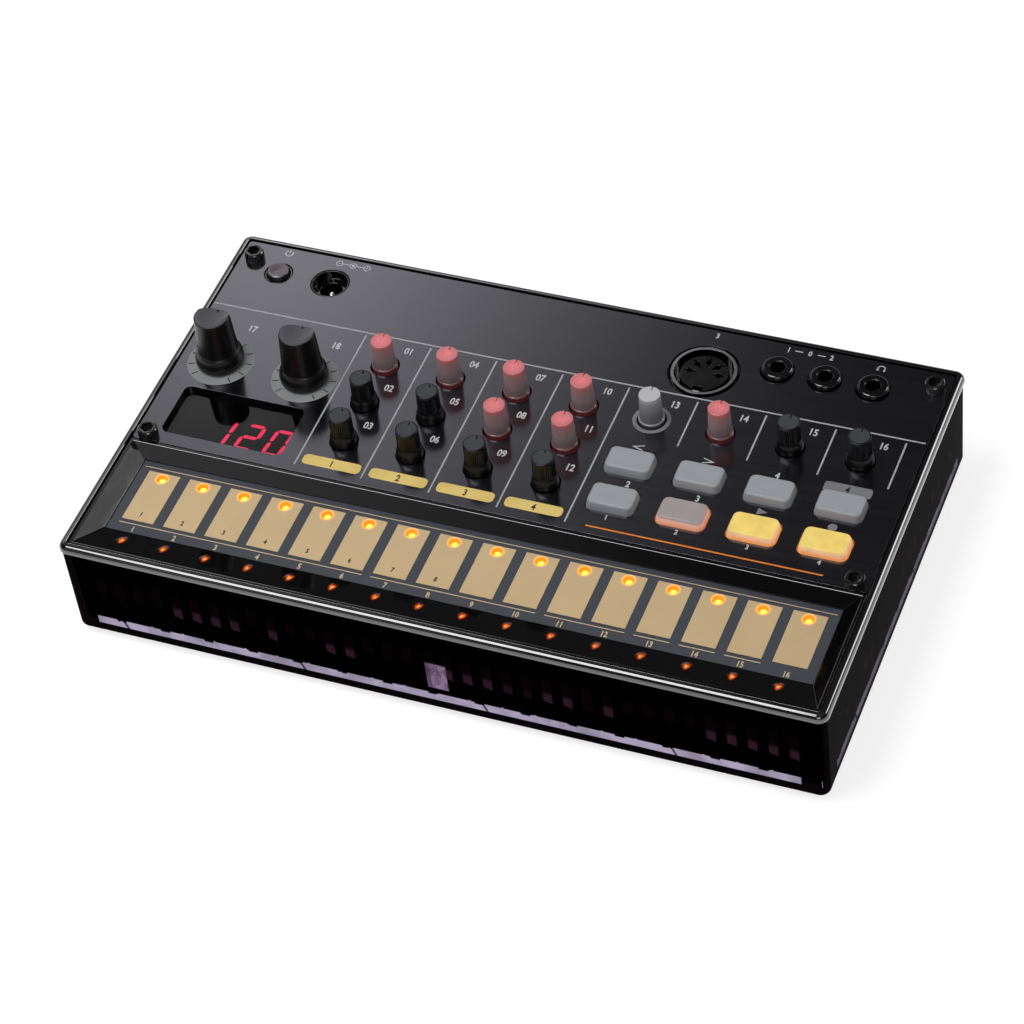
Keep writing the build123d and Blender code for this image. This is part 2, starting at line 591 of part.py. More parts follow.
# === Step strip =========================================================================
# The bezel is a sunk frame: four mitred slopes run down from a thin land to the board.
with BuildPart() as strip_bezel:
    with BuildSketch(level(STRIP_Z)):
        with Locations((0, (STRIP_FRONT + STRIP_BACK) / 2)):
            RectangleRounded(2 * PANEL_HX, STRIP_BACK - STRIP_FRONT, PANEL_CORNER_R)
    extrude(amount=STRIP_DROP)
    # A tongue at the back that the panel clamps
    with BuildSketch(level(STRIP_Z)):
        with Locations((0, STRIP_BACK + (STRIP_JOINT + TONGUE_L) / 2)):
            Rectangle(2 * (FACE_HX - TONGUE_INSET), STRIP_JOINT + TONGUE_L)
    extrude(amount=PANEL_UNDER_Z - STRIP_Z - SEAT_GAP)
    # The funnel between the mouth and the face
    with BuildSketch(level(STRIP_Z + BEZEL_LIP)):
        with Locations((0, (FACE_FRONT + FACE_BACK) / 2)):
            Rectangle(2 * FACE_HX, FACE_BACK - FACE_FRONT)
    with BuildSketch(level(PANEL_Z)):
        with Locations((0, (MOUTH_FRONT + MOUTH_BACK) / 2)):
            Rectangle(2 * MOUTH_HX, MOUTH_BACK - MOUTH_FRONT)
    loft(ruled=True, mode=Mode.SUBTRACT)
    with BuildSketch(level(STRIP_Z)):
        with Locations((0, (FACE_FRONT + FACE_BACK) / 2)):
            Rectangle(2 * FACE_HX, FACE_BACK - FACE_FRONT)
    extrude(amount=BEZEL_LIP, mode=Mode.SUBTRACT)
    # Room for the two screw bosses of the tray
    with BuildSketch(level(STRIP_Z)):
        with Locations(*SCREW_SPOTS):
            Circle(BOSS_D / 2 + BOSS_GAP)
    extrude(amount=PANEL_UNDER_Z + SEAT_GAP - STRIP_Z, mode=Mode.SUBTRACT)
strip_bezel.part.label = "strip_bezel"
export_step(strip_bezel.part, "parts/strip_bezel.step")

TOUCH_HX = FACE_HX + BOARD_UNDER_LIP
TOUCH_FRONT = FACE_FRONT - BOARD_FRONT_REACH
TOUCH_BACK = FACE_BACK + BOARD_UNDER_LIP

with BuildPart() as touch_board:
    with BuildSketch(level(STRIP_Z)):
        with Locations((0, (TOUCH_FRONT + TOUCH_BACK) / 2)):
            Rectangle(2 * TOUCH_HX, TOUCH_BACK - TOUCH_FRONT)
        with Locations(*[(x, STEP_LED_Y) for x in STEP_X]):
            Circle(STEP_LED_HOLE_D / 2, mode=Mode.SUBTRACT)
        with Locations(*SCREW_SPOTS):
            Circle(BOSS_D / 2 + BOSS_GAP, mode=Mode.SUBTRACT)
    extrude(amount=-BOARD_T)
touch_board.part.label = "touch_board"
export_step(touch_board.part, "parts/touch_board.step")

with BuildPart() as touch_pads:
    with BuildSketch(level(STRIP_Z)):
        with Locations(*[(x, (PAD_FRONT + PAD_BACK) / 2) for x in STEP_X]):
            Rectangle(PAD_W, PAD_BACK - PAD_FRONT)
        with Locations(*[(x, STEP_LED_Y) for x in STEP_X]):
            Circle(STEP_LED_HOLE_D / 2, mode=Mode.SUBTRACT)
    extrude(amount=PAD_T)
touch_pads.part.label = "touch_pads"
export_step(touch_pads.part, "parts/touch_pads.step")

# Each step light is a round lens with a bevelled tip, on a square base under the board.
with BuildPart() as step_leds:
    with BuildSketch(level(STRIP_UNDER_Z)):
        with Locations(*[(x, STEP_LED_Y) for x in STEP_X]):
            Rectangle(STEP_LED_D + 0.8, STEP_LED_D + 0.8)
    extrude(amount=-0.9)
    with BuildSketch(level(STRIP_UNDER_Z)):
        with Locations(*[(x, STEP_LED_Y) for x in STEP_X]):
            Circle(STEP_LED_D / 2)
    extrude(amount=BOARD_T - STEP_LED_DEPTH)
    chamfer(step_leds.faces().filter_by(Axis.Z).group_by(Axis.Z)[-1].edges(), STEP_LED_BEVEL)
step_leds.part.label = "step_leds"
export_step(step_leds.part, "parts/step_leds.step")

# === Main board =========================================================================
MAIN_HX = PANEL_HX - BOARD_SIDE_GAP
MAIN_FRONT = PANEL_FRONT + BOARD_FRONT_GAP
MAIN_BACK = PANEL_BACK - BOARD_BACK_GAP

with BuildPart() as main_board:
    with BuildSketch(level(MAIN_Z)):
        with Locations((0, (MAIN_FRONT + MAIN_BACK) / 2)):
            Rectangle(2 * MAIN_HX, MAIN_BACK - MAIN_FRONT)
        with Locations(*SCREW_SPOTS):
            Circle(BOSS_D / 2 + BOARD_BOSS_GAP, mode=Mode.SUBTRACT)
        with Locations(*JACK_SPOTS):
            Rectangle(JACK_BODY_W + 2 * BODY_GAP, JACK_BODY_W + 2 * BODY_GAP, mode=Mode.SUBTRACT)
        with Locations((DIN_X, DIN_Y)):
            Rectangle(DIN_BODY_W + 2 * BODY_GAP, DIN_BODY_D + 2 * BODY_GAP, mode=Mode.SUBTRACT)
        with Locations((DC_X, CONNECTOR_Y)):
            Rectangle(DC_BODY_W + 2 * BODY_GAP, DC_BODY_W + 2 * BODY_GAP, mode=Mode.SUBTRACT)
        with Locations(*STANDOFF_SPOTS):
            Circle(BOARD_SCREW_D / 2 + 0.1, mode=Mode.SUBTRACT)
    extrude(amount=-BOARD_T)
main_board.part.label = "main_board"
export_step(main_board.part, "parts/main_board.step")

# Standoffs between panel and board, each with its screw from below.
with BuildPart() as board_fasteners:
    with BuildSketch(level(MAIN_Z)):
        with Locations(*STANDOFF_SPOTS):
            RegularPolygon(STANDOFF_D / 2, 6, major_radius=False)
            Circle(BOARD_SCREW_D / 2 + THREAD_FIT, mode=Mode.SUBTRACT)
    extrude(amount=BOARD_DROP)
    with BuildSketch(level(MAIN_UNDER_Z)):
        with Locations(*STANDOFF_SPOTS):
            Circle(BOARD_SCREW_HEAD_D / 2)
    extrude(amount=-BOARD_SCREW_HEAD_H)
    with BuildSketch(level(MAIN_UNDER_Z)):
        with Locations(*STANDOFF_SPOTS):
            Circle(BOARD_SCREW_D / 2)
    extrude(amount=BOARD_T + BOARD_DROP - 1.0)
board_fasteners.part.label = "board_fasteners"
export_step(board_fasteners.part, "parts/board_fasteners.step")

with BuildPart() as display_window:
    with BuildSketch(level(PANEL_UNDER_Z)):
        with Locations((WINDOW_X, WINDOW_Y)):
            RectangleRounded(WINDOW_W + 2 * LENS_LAP, WINDOW_D + 2 * LENS_LAP, WINDOW_R)
        with Locations(*SCREW_SPOTS):
            Circle(BOSS_D / 2 + BOSS_GAP, mode=Mode.SUBTRACT)
    extrude(amount=-LENS_T)
display_window.part.label = "display_window"
export_step(display_window.part, "parts/display_window.step")

with BuildPart() as display_module:
    with BuildSketch(level(MAIN_Z)):
        with Locations((WINDOW_X, WINDOW_Y)):
            Rectangle(MODULE_W, MODULE_D)
    extrude(amount=BOARD_DROP - LENS_T - MODULE_RECESS)
display_module.part.label = "display_module"
export_step(display_module.part, "parts/display_module.step")

# === Potentiometers and their knobs =====================================================
SMALL_FLANGE_Z = PANEL_Z - SMALL_FLANGE_SINK
SMALL_SHAFT_Z = MAIN_Z + 1.0

with BuildPart() as small_pots:
    with BuildSketch(level(MAIN_Z)):
        with Locations(*KNOB_SPOTS):
            Rectangle(SMALL_POT_W, SMALL_POT_D)
    extrude(amount=SMALL_POT_H)
    with BuildSketch(level(MAIN_Z + SMALL_POT_H)):
        with Locations(*KNOB_SPOTS):
            Circle(SMALL_BUSH_D / 2)
    extrude(amount=SMALL_FLANGE_Z - SMALL_BUSH_GAP - MAIN_Z - SMALL_POT_H)
    with BuildSketch(level(SMALL_SHAFT_Z - 0.3)):
        with Locations(*KNOB_SPOTS):
            Circle(SMALL_SHAFT_D / 2 + SHAFT_FIT)
    extrude(amount=SMALL_FLANGE_Z - SMALL_SHAFT_Z + 1.0, mode=Mode.SUBTRACT)
small_pots.part.label = "small_pots"
export_step(small_pots.part, "parts/small_pots.step")

SMALL_TOP_Z = PANEL_Z + SMALL_KNOB_RISE


def make_small_knob(name, x, y, moulding):
    """One turned moulding: shaft, flange or flared skirt, tapered body and pointer notch."""
    shaft_r = SMALL_SHAFT_D / 2
    top_r = SMALL_KNOB_TOP_D / 2
    base_r = SMALL_KNOB_BASE_D / 2
    flange_top = SMALL_FLANGE_Z + SMALL_FLANGE_T
    with BuildPart() as knob:
        with BuildSketch(upright(x, y)):
            with BuildLine():
                if moulding == "clear":
                    Polyline(
                        (0, SMALL_SHAFT_Z),
                        (shaft_r, SMALL_SHAFT_Z),
                        (shaft_r, SMALL_FLANGE_Z),
                        (SMALL_FLANGE_D / 2, SMALL_FLANGE_Z),
                        (SMALL_FLANGE_D / 2, flange_top - 0.3),
                        (base_r, flange_top),
                        (top_r, SMALL_TOP_Z),
                    )
                else:
                    Polyline(
                        (0, SMALL_SHAFT_Z),
                        (shaft_r, SMALL_SHAFT_Z),
                        (shaft_r, SMALL_FLANGE_Z),
                        (SMALL_SKIRT_D / 2, SMALL_FLANGE_Z),
                        (SMALL_SKIRT_D / 2, flange_top - 0.2),
                    )
                    ThreePointArc(
                        (SMALL_SKIRT_D / 2, flange_top - 0.2),
                        ((SMALL_SKIRT_D / 2 + 2.2 * base_r) / 3.2, flange_top + 0.35),
                        (base_r, flange_top + 1.7),
                    )
                    Line((base_r, flange_top + 1.7), (top_r, SMALL_TOP_Z))
                Polyline((top_r, SMALL_TOP_Z), (0, SMALL_TOP_Z - KNOB_DISH), (0, SMALL_SHAFT_Z))
            make_face()
        revolve(axis=Axis((x, y, 0), (0, 0, 1)))
        with BuildSketch(level(SMALL_TOP_Z)):
            with Locations((x, y + top_r - NOTCH_L / 2 + 0.2)):
                Rectangle(NOTCH_W, NOTCH_L + 0.4)
        extrude(amount=-NOTCH_DEPTH, mode=Mode.SUBTRACT)
    knob.part.label = name
    export_step(knob.part, f"parts/{name}.step")


for small_knob in SMALL_KNOBS:
    make_small_knob(*small_knob)

LARGE_BUSH_Z = PANEL_Z + LARGE_KNOB_LIFT + 0.3
LARGE_TOP_Z = PANEL_Z + LARGE_KNOB_RISE
LARGE_SKIRT_Z = PANEL_Z + LARGE_KNOB_LIFT
LARGE_SHAFT_Z = MAIN_Z + 1.0
LARGE_SHAFT_TOP_Z = LARGE_TOP_Z - LARGE_SHAFT_BELOW

with BuildPart() as large_pots:
    with BuildSketch(level(MAIN_Z)):
        with Locations(*LARGE_SPOTS):
            RectangleRounded(LARGE_POT_W, LARGE_POT_W, 1.0)
    extrude(amount=LARGE_POT_H)
    with BuildSketch(level(MAIN_Z + LARGE_POT_H)):
        with Locations(*LARGE_SPOTS):
            Circle(LARGE_BUSH_D / 2)
    extrude(amount=LARGE_BUSH_Z - MAIN_Z - LARGE_POT_H)
    with BuildSketch(level(LARGE_SHAFT_Z - 0.3)):
        with Locations(*LARGE_SPOTS):
            Circle(LARGE_SHAFT_D / 2 + SHAFT_FIT)
    extrude(amount=LARGE_BUSH_Z - LARGE_SHAFT_Z + 1.0, mode=Mode.SUBTRACT)
large_pots.part.label = "large_pots"
export_step(large_pots.part, "parts/large_pots.step")


def shaft_outline(x, y, grow):
    """Round shaft section with one flat towards the front, grown all round by a clearance."""
    radius = LARGE_SHAFT_D / 2 + grow
    flat_y = y - (LARGE_SHAFT_D / 2 - LARGE_SHAFT_FLAT) - grow
    with Locations((x, y)):
        Circle(radius)
    with Locations((x, flat_y - LARGE_SHAFT_D / 2)):
        Rectangle(2 * LARGE_SHAFT_D, LARGE_SHAFT_D, mode=Mode.SUBTRACT)


def make_large_knob(name, shaft_name, x, y):
    """A turned knob with a flared skirt and a scooped, back-sloping top, and its own shaft."""
    with BuildPart() as shaft:
        with BuildSketch(level(LARGE_SHAFT_Z)):
            with Locations((x, y)):
                Circle(LARGE_SHAFT_D / 2)
        extrude(amount=LARGE_SKIRT_Z + 1.5 - LARGE_SHAFT_Z)
        with BuildSketch(level(LARGE_SKIRT_Z + 1.5)):
            shaft_outline(x, y, 0)
        extrude(amount=LARGE_SHAFT_TOP_Z - LARGE_SKIRT_Z - 1.5)
    shaft.part.label = shaft_name
    export_step(shaft.part, f"parts/{shaft_name}.step")
    skirt_top = LARGE_SKIRT_Z + LARGE_SKIRT_H
    skirt_r = LARGE_SKIRT_D / 2
    waist_r = LARGE_WAIST_D / 2
    with BuildPart() as knob:
        with BuildSketch(upright(x, y)):
            with BuildLine():
                Polyline(
                    (0, LARGE_SKIRT_Z),
                    (skirt_r - 0.3, LARGE_SKIRT_Z),
                    (skirt_r, LARGE_SKIRT_Z + 0.3),
                    (skirt_r, LARGE_SKIRT_Z + 0.9),
                )
                ThreePointArc(
                    (skirt_r, LARGE_SKIRT_Z + 0.9),
                    (skirt_r - 0.62 * (skirt_r - waist_r), skirt_top - 0.35),
                    (waist_r, skirt_top + 1.0),
                )
                Polyline(
                    (waist_r, skirt_top + 1.0),
                    (LARGE_TOP_D / 2, LARGE_TOP_Z),
                    (0, LARGE_TOP_Z),
                    (0, LARGE_SKIRT_Z),
                )
            make_face()
        revolve(axis=Axis((x, y, 0), (0, 0, 1)))
        # Scoop: a long cylinder laid front to back, falling towards the back
        scoop_z = LARGE_TOP_Z + LARGE_SCOOP_R - LARGE_SCOOP_FRONT
        fall = math.radians(LARGE_SCOOP_TILT)
        along = Vector(0, math.cos(fall), -math.sin(fall))
        start = Vector(x, y, scoop_z) - along * LARGE_TOP_D
        with BuildSketch(Plane(origin=start, x_dir=(1, 0, 0), z_dir=along)):
            Circle(LARGE_SCOOP_R)
        extrude(amount=2 * LARGE_TOP_D, mode=Mode.SUBTRACT)
        # Pointer notch at the back edge of the top
        with BuildSketch(level(LARGE_TOP_Z)):
            with Locations((x, y + LARGE_TOP_D / 2 - NOTCH_L / 2 + 0.3)):
                Rectangle(1.2 * NOTCH_W, NOTCH_L + 0.6)
        extrude(amount=-NOTCH_DEPTH - 2.4, mode=Mode.SUBTRACT)
        # Hollow over the bush, and the bore with its flat
        with BuildSketch(level(LARGE_SKIRT_Z)):
            with Locations((x, y)):
                Circle(LARGE_BUSH_D / 2 + 0.6)
        extrude(amount=1.5, mode=Mode.SUBTRACT)
        with BuildSketch(level(LARGE_SKIRT_Z + 1.5)):
            shaft_outline(x, y, KNOB_BORE_FIT)
        extrude(amount=LARGE_SHAFT_TOP_Z - LARGE_SKIRT_Z - 1.4, mode=Mode.SUBTRACT)
    knob.part.label = name
    export_step(knob.part, f"parts/{name}.step")


make_large_knob("stutter_time_knob", "stutter_time_shaft", *LARGE_SPOTS[0])
make_large_knob("stutter_depth_knob", "stutter_depth_shaft", *LARGE_SPOTS[1])

# === Keys and switches ==================================================================
KEY_FLANGE_TOP_Z = PANEL_UNDER_Z - SEAT_GAP
KEY_UNDER_Z = KEY_FLANGE_TOP_Z - KEY_FLANGE_T
SWITCH_TOP_Z = MAIN_Z + SWITCH_H
KEY_STEM_TIP_Z = SWITCH_TOP_Z - 0.6
SWITCH_BORE_Z = KEY_STEM_TIP_Z - KEY_TRAVEL - 0.4


def make_key(name, x, y):
    """A soft key: domed block through the panel, flange below it and a stem into its switch."""
    with BuildPart() as key:
        with BuildSketch(level(PANEL_Z)):
            with Locations((x, y)):
                RectangleRounded(KEY_W, KEY_D, KEY_CORNER_R)
        with BuildSketch(level(PANEL_Z + KEY_RISE)):
            with Locations((x, y)):
                RectangleRounded(KEY_W - 2 * KEY_TAPER, KEY_D - 2 * KEY_TAPER, KEY_CORNER_R)
        loft(ruled=True)
        fillet(key.faces().sort_by(Axis.Z)[-1].edges(), KEY_EDGE_R)
        with BuildSketch(level(KEY_UNDER_Z)):
            with Locations((x, y)):
                RectangleRounded(KEY_W, KEY_D, KEY_CORNER_R)
        extrude(amount=PANEL_Z - KEY_UNDER_Z)
        with BuildSketch(level(KEY_UNDER_Z)):
            with Locations((x, y)):
                RectangleRounded(
                    KEY_W + 2 * KEY_GAP + 2 * KEY_FLANGE_W,
                    KEY_D + 2 * KEY_GAP + 2 * KEY_FLANGE_W,
                    KEY_CORNER_R,
                )
        extrude(amount=KEY_FLANGE_T)
        with BuildSketch(level(KEY_STEM_TIP_Z)):
            with Locations((x, y)):
                Circle(KEY_STEM_D / 2)
        extrude(amount=KEY_UNDER_Z - KEY_STEM_TIP_Z)
    key.part.label = name
    export_step(key.part, f"parts/{name}.step")


for key in KEYS:
    make_key(*key)

with BuildPart() as key_switches:
    with BuildSketch(level(MAIN_Z)):
        with Locations(*KEY_SPOTS):
            Rectangle(SWITCH_W, SWITCH_W)
    extrude(amount=SWITCH_H)
    chamfer(key_switches.faces().filter_by(Axis.Z).group_by(Axis.Z)[-1].edges(), 0.4)
    with BuildSketch(level(SWITCH_BORE_Z)):
        with Locations(*KEY_SPOTS):
            Circle(KEY_STEM_D / 2 + SWITCH_BORE_FIT)
    extrude(amount=SWITCH_TOP_Z - SWITCH_BORE_Z, mode=Mode.SUBTRACT)
key_switches.part.label = "key_switches"
export_step(key_switches.part, "parts/key_switches.step")

POWER_COLLAR_Z = PANEL_Z - 0.2
POWER_BODY_Z = PANEL_UNDER_Z - 2.6
POWER_STEM_Z = MAIN_Z + 2.4
POWER_CAVITY_Z = POWER_STEM_Z - POWER_TRAVEL - 0.3
POWER_FLANGE_D = POWER_CAP_D + 1.0

with BuildPart() as power_switch:
    with BuildSketch(level(MAIN_Z)):
        with Locations((POWER_X, CONNECTOR_Y)):
            Rectangle(POWER_SWITCH_W, POWER_SWITCH_W)
    extrude(amount=POWER_BODY_Z - MAIN_Z)
    with BuildSketch(level(POWER_BODY_Z)):
        with Locations((POWER_X, CONNECTOR_Y)):
            Circle(POWER_COLLAR_D / 2)
    extrude(amount=POWER_COLLAR_Z - POWER_BODY_Z)
    with BuildSketch(level(POWER_CAVITY_Z)):
        with Locations((POWER_X, CONNECTOR_Y)):
            Circle(POWER_CAP_D / 2 + SWITCH_BORE_FIT)
    extrude(amount=POWER_COLLAR_Z - POWER_CAVITY_Z, mode=Mode.SUBTRACT)
power_switch.part.label = "power_switch"
export_step(power_switch.part, "parts/power_switch.step")

with BuildPart() as power_button:
    with BuildSketch(level(POWER_STEM_Z)):
        with Locations((POWER_X, CONNECTOR_Y)):
            Circle(POWER_CAP_D / 2)
    extrude(amount=PANEL_Z + POWER_RISE - POWER_STEM_Z)
    fillet(power_button.faces().sort_by(Axis.Z)[-1].edges(), 0.4)
power_button.part.label = "power_button"
export_step(power_button.part, "parts/power_button.step")

# === Connectors =========================================================================
DC_BODY_Z = PANEL_Z - DC_WELL_DEPTH - DC_BORE_DEPTH - 1.0

with BuildPart() as dc_jack:
    with BuildSketch(level(DC_BODY_Z)):
        with Locations((DC_X, CONNECTOR_Y)):
            Rectangle(DC_BODY_W, DC_BODY_W)
    extrude(amount=PANEL_UNDER_Z - SEAT_GAP - DC_BODY_Z)
    with BuildSketch(level(PANEL_UNDER_Z - SEAT_GAP)):
        with Locations((DC_X, CONNECTOR_Y)):
            Circle(DC_COLLAR_D / 2)
    extrude(amount=PANEL_T)
    with BuildSketch(level(PANEL_Z - DC_WELL_DEPTH)):
        with Locations((DC_X, CONNECTOR_Y)):
            Circle(DC_WELL_D / 2)
    extrude(amount=DC_WELL_DEPTH, mode=Mode.SUBTRACT)
    with BuildSketch(level(PANEL_Z - DC_WELL_DEPTH - DC_BORE_DEPTH)):
        with Locations((DC_X, CONNECTOR_Y)):
            Circle(DC_BORE_D / 2)
    extrude(amount=DC_BORE_DEPTH, mode=Mode.SUBTRACT)
dc_jack.part.label = "dc_jack"
export_step(dc_jack.part, "parts/dc_jack.step")

with BuildPart() as dc_jack_pin:
    with BuildSketch(level(PANEL_Z - DC_WELL_DEPTH - DC_BORE_DEPTH)):
        with Locations((DC_X, CONNECTOR_Y)):
            Circle(DC_PIN_D / 2)
    extrude(amount=DC_WELL_DEPTH + DC_BORE_DEPTH - DC_PIN_BELOW)
    fillet(dc_jack_pin.faces().sort_by(Axis.Z)[-1].edges(), 0.5)
dc_jack_pin.part.label = "dc_jack_pin"
export_step(dc_jack_pin.part, "parts/dc_jack_pin.step")

DIN_BODY_TOP_Z = PANEL_UNDER_Z - SEAT_GAP
DIN_WELL_Z = DIN_BODY_TOP_Z - DIN_WELL_DEPTH
DIN_CORE_Z = PANEL_Z - DIN_CORE_BELOW
DIN_ANGLES = [0, 45, 90, 135, 180]
DIN_SOCKETS = [
    (
        DIN_X + DIN_PIN_CIRCLE / 2 * math.cos(math.radians(angle)),
        DIN_Y + DIN_PIN_CIRCLE / 2 * math.sin(math.radians(angle)),
    )
    for angle in DIN_ANGLES
]

with BuildPart() as din_body:
    with BuildSketch(level(DIN_BODY_TOP_Z - DIN_BODY_H)):
        with Locations((DIN_X, DIN_Y)):
            Rectangle(DIN_BODY_W, DIN_BODY_D)
    extrude(amount=DIN_BODY_H)
    with BuildSketch(level(DIN_WELL_Z)):
        with Locations((DIN_X, DIN_Y)):
            Circle(DIN_RING_D / 2)
    extrude(amount=DIN_WELL_DEPTH, mode=Mode.SUBTRACT)
    with BuildSketch(level(DIN_WELL_Z)):
        with Locations((DIN_X, DIN_Y)):
            Circle(DIN_CORE_D / 2)
        with Locations((DIN_X, DIN_Y - DIN_CORE_D / 2)):
            Rectangle(2.6, 2.6, mode=Mode.SUBTRACT)
        # Keyhole sockets: a round hole with a narrow radial slit for each contact
        for angle, spot in zip(DIN_ANGLES, DIN_SOCKETS):
            with Locations(spot):
                Circle(DIN_SOCKET_D / 2, mode=Mode.SUBTRACT)
                SlotOverall(DIN_SLOT_L, DIN_SLOT_W, rotation=angle, mode=Mode.SUBTRACT)
    extrude(amount=DIN_CORE_Z - DIN_WELL_Z)
din_body.part.label = "din_body"
export_step(din_body.part, "parts/din_body.step")

with BuildPart() as din_ring:
    with BuildSketch(level(DIN_WELL_Z)):
        with Locations((DIN_X, DIN_Y)):
            Circle(DIN_RING_D / 2)
            Circle(DIN_RING_D / 2 - DIN_RING_T, mode=Mode.SUBTRACT)
    extrude(amount=PANEL_Z + DIN_RING_RISE - DIN_WELL_Z)
    # The key that a plug's notch slides over
    with BuildSketch(level(DIN_WELL_Z)):
        with Locations((DIN_X, DIN_Y - DIN_RING_D / 2 + DIN_RING_T)):
            Rectangle(1.6, 2.4)
        with Locations((DIN_X, DIN_Y)):
            Circle(DIN_RING_D / 2 - 0.2, mode=Mode.INTERSECT)
    extrude(amount=DIN_CORE_Z - DIN_WELL_Z)
din_ring.part.label = "din_ring"
export_step(din_ring.part, "parts/din_ring.step")

with BuildPart() as din_contacts:
    with BuildSketch(level(DIN_WELL_Z)):
        with Locations(*DIN_SOCKETS):
            Circle(DIN_SOCKET_D / 2)
            Circle(DIN_SOCKET_D / 2 - 0.3, mode=Mode.SUBTRACT)
    extrude(amount=DIN_WELL_DEPTH - 1.5)
din_contacts.part.label = "din_contacts"
export_step(din_contacts.part, "parts/din_contacts.step")


def make_jack(name, x, y):
    """A small upright jack: square housing, proud round ferrule and a straight plug bore."""
    mouth_z = PANEL_Z + JACK_RISE
    bore_z = mouth_z - JACK_BORE_DEPTH
    body_top_z = PANEL_UNDER_Z - SEAT_GAP
    with BuildPart() as jack:
        with BuildSketch(level(bore_z - JACK_BODY_FLOOR)):
            with Locations((x, y)):
                Rectangle(JACK_BODY_W, JACK_BODY_W)
        extrude(amount=body_top_z - bore_z + JACK_BODY_FLOOR)
        with BuildSketch(level(body_top_z)):
            with Locations((x, y)):
                Circle(JACK_FERRULE_D / 2)
        extrude(amount=mouth_z - body_top_z)
        fillet(jack.faces().sort_by(Axis.Z)[-1].edges(), JACK_EDGE_R)
        with BuildSketch(level(bore_z)):
            with Locations((x, y)):
                Circle(JACK_BORE_D / 2)
        extrude(amount=JACK_BORE_DEPTH, mode=Mode.SUBTRACT)
        mouth = jack.edges().filter_by(GeomType.CIRCLE).group_by(Axis.Z)[-1].sort_by(SortBy.RADIUS)[0]
        chamfer(mouth, JACK_MOUTH_CHAMFER)
    jack.part.label = name
    export_step(jack.part, f"parts/{name}.step")


for jack_name, jack_spot in zip(("sync_in_jack", "sync_out_jack", "headphone_jack"), JACK_SPOTS):
    make_jack(jack_name, *jack_spot)

# === Speaker ============================================================================
SPEAKER_Z = FLOOR_Z
SPEAKER_THROAT_Z = SPEAKER_Z + SPEAKER_H - MAGNET_H

with BuildPart() as speaker_frame:
    with BuildSketch(upright(SPEAKER_X, SPEAKER_Y)):
        with BuildLine():
            Polyline(
                (SPEAKER_D / 2 - SPEAKER_RIM_W, SPEAKER_Z),
                (SPEAKER_D / 2, SPEAKER_Z),
                (SPEAKER_D / 2, SPEAKER_Z + SPEAKER_RIM_T),
                (SPEAKER_D / 2 - SPEAKER_RIM_W + SPEAKER_SHEET, SPEAKER_Z + SPEAKER_RIM_T),
                (MAGNET_D / 2 + SPEAKER_SHEET, SPEAKER_THROAT_Z),
                (0, SPEAKER_THROAT_Z),
                (0, SPEAKER_THROAT_Z - SPEAKER_SHEET),
                (MAGNET_D / 2, SPEAKER_THROAT_Z - SPEAKER_SHEET),
                close=True,
            )
        make_face()
    revolve(axis=Axis((SPEAKER_X, SPEAKER_Y, 0), (0, 0, 1)))
speaker_frame.part.label = "speaker_frame"
export_step(speaker_frame.part, "parts/speaker_frame.step")

with BuildPart() as speaker_cone:
    cone_low = SPEAKER_Z + 0.4
    throat_depth = SPEAKER_THROAT_Z - SPEAKER_SHEET - SPEAKER_Z
    throat_run = (SPEAKER_D / 2 - SPEAKER_RIM_W - MAGNET_D / 2) / throat_depth
    cone_r = SPEAKER_D / 2 - SPEAKER_RIM_W - (cone_low + CONE_T - SPEAKER_Z) * throat_run - CONE_GAP
    cone_high = SPEAKER_THROAT_Z - SPEAKER_SHEET - CONE_GAP - 1.2
    with BuildSketch(upright(SPEAKER_X, SPEAKER_Y)):
        with BuildLine():
            Polyline(
                (cone_r, cone_low),
                (cone_r, cone_low + CONE_T),
                (MAGNET_D / 4, cone_high + CONE_T),
                (0, cone_high + CONE_T),
                (0, cone_high),
                (MAGNET_D / 4, cone_high),
                close=True,
            )
        make_face()
    revolve(axis=Axis((SPEAKER_X, SPEAKER_Y, 0), (0, 0, 1)))
speaker_cone.part.label = "speaker_cone"
export_step(speaker_cone.part, "parts/speaker_cone.step")

with BuildPart() as speaker_magnet:
    with BuildSketch(level(SPEAKER_THROAT_Z)):
        with Locations((SPEAKER_X, SPEAKER_Y)):
            Circle(MAGNET_D / 2)
    extrude(amount=MAGNET_H)
    chamfer(speaker_magnet.edges().group_by(Axis.Z)[-1], 0.5)
speaker_magnet.part.label = "speaker_magnet"
export_step(speaker_magnet.part, "parts/speaker_magnet.step")

# === Battery contacts and ribbon cable ==================================================
# Bent leaf contacts, one at each end of every cell: a flat leg on the bay wall and a bow.
CELL_X = [BAY_X + (i - (CELL_COUNT - 1) / 2) * (CELL_D + CELL_PLAY) for i in range(CELL_COUNT)]
LEAF_Z = BASE_Z + DOOR_T + SEAT_GAP + (BAY_CEILING_Z - BASE_Z - DOOR_T) / 2

with BuildPart() as battery_contacts:
    for cell_x in CELL_X:
        for side in (-1, 1):
            wall_y = BAY_Y + side * BAY_D / 2
            leaf_start = (cell_x - LEAF_W / 2, wall_y, LEAF_Z)
            with BuildSketch(Plane(origin=leaf_start, x_dir=(0, -side, 0), z_dir=(1, 0, 0))):
                with BuildLine():
                    Polyline(
                        (0, -LEAF_H / 2),
                        (LEAF_T, -LEAF_H / 2),
                        (LEAF_BOW, 0),
                        (LEAF_T, LEAF_H / 2),
                        (0, LEAF_H / 2),
                        (0, LEAF_H / 2 - 1.2),
                        (LEAF_BOW - LEAF_T, 0),
                        (0, -LEAF_H / 2 + 1.2),
                        close=True,
                    )
                make_face()
            extrude(amount=LEAF_W)
battery_contacts.part.label = "battery_contacts"
export_step(battery_contacts.part, "parts/battery_contacts.step")

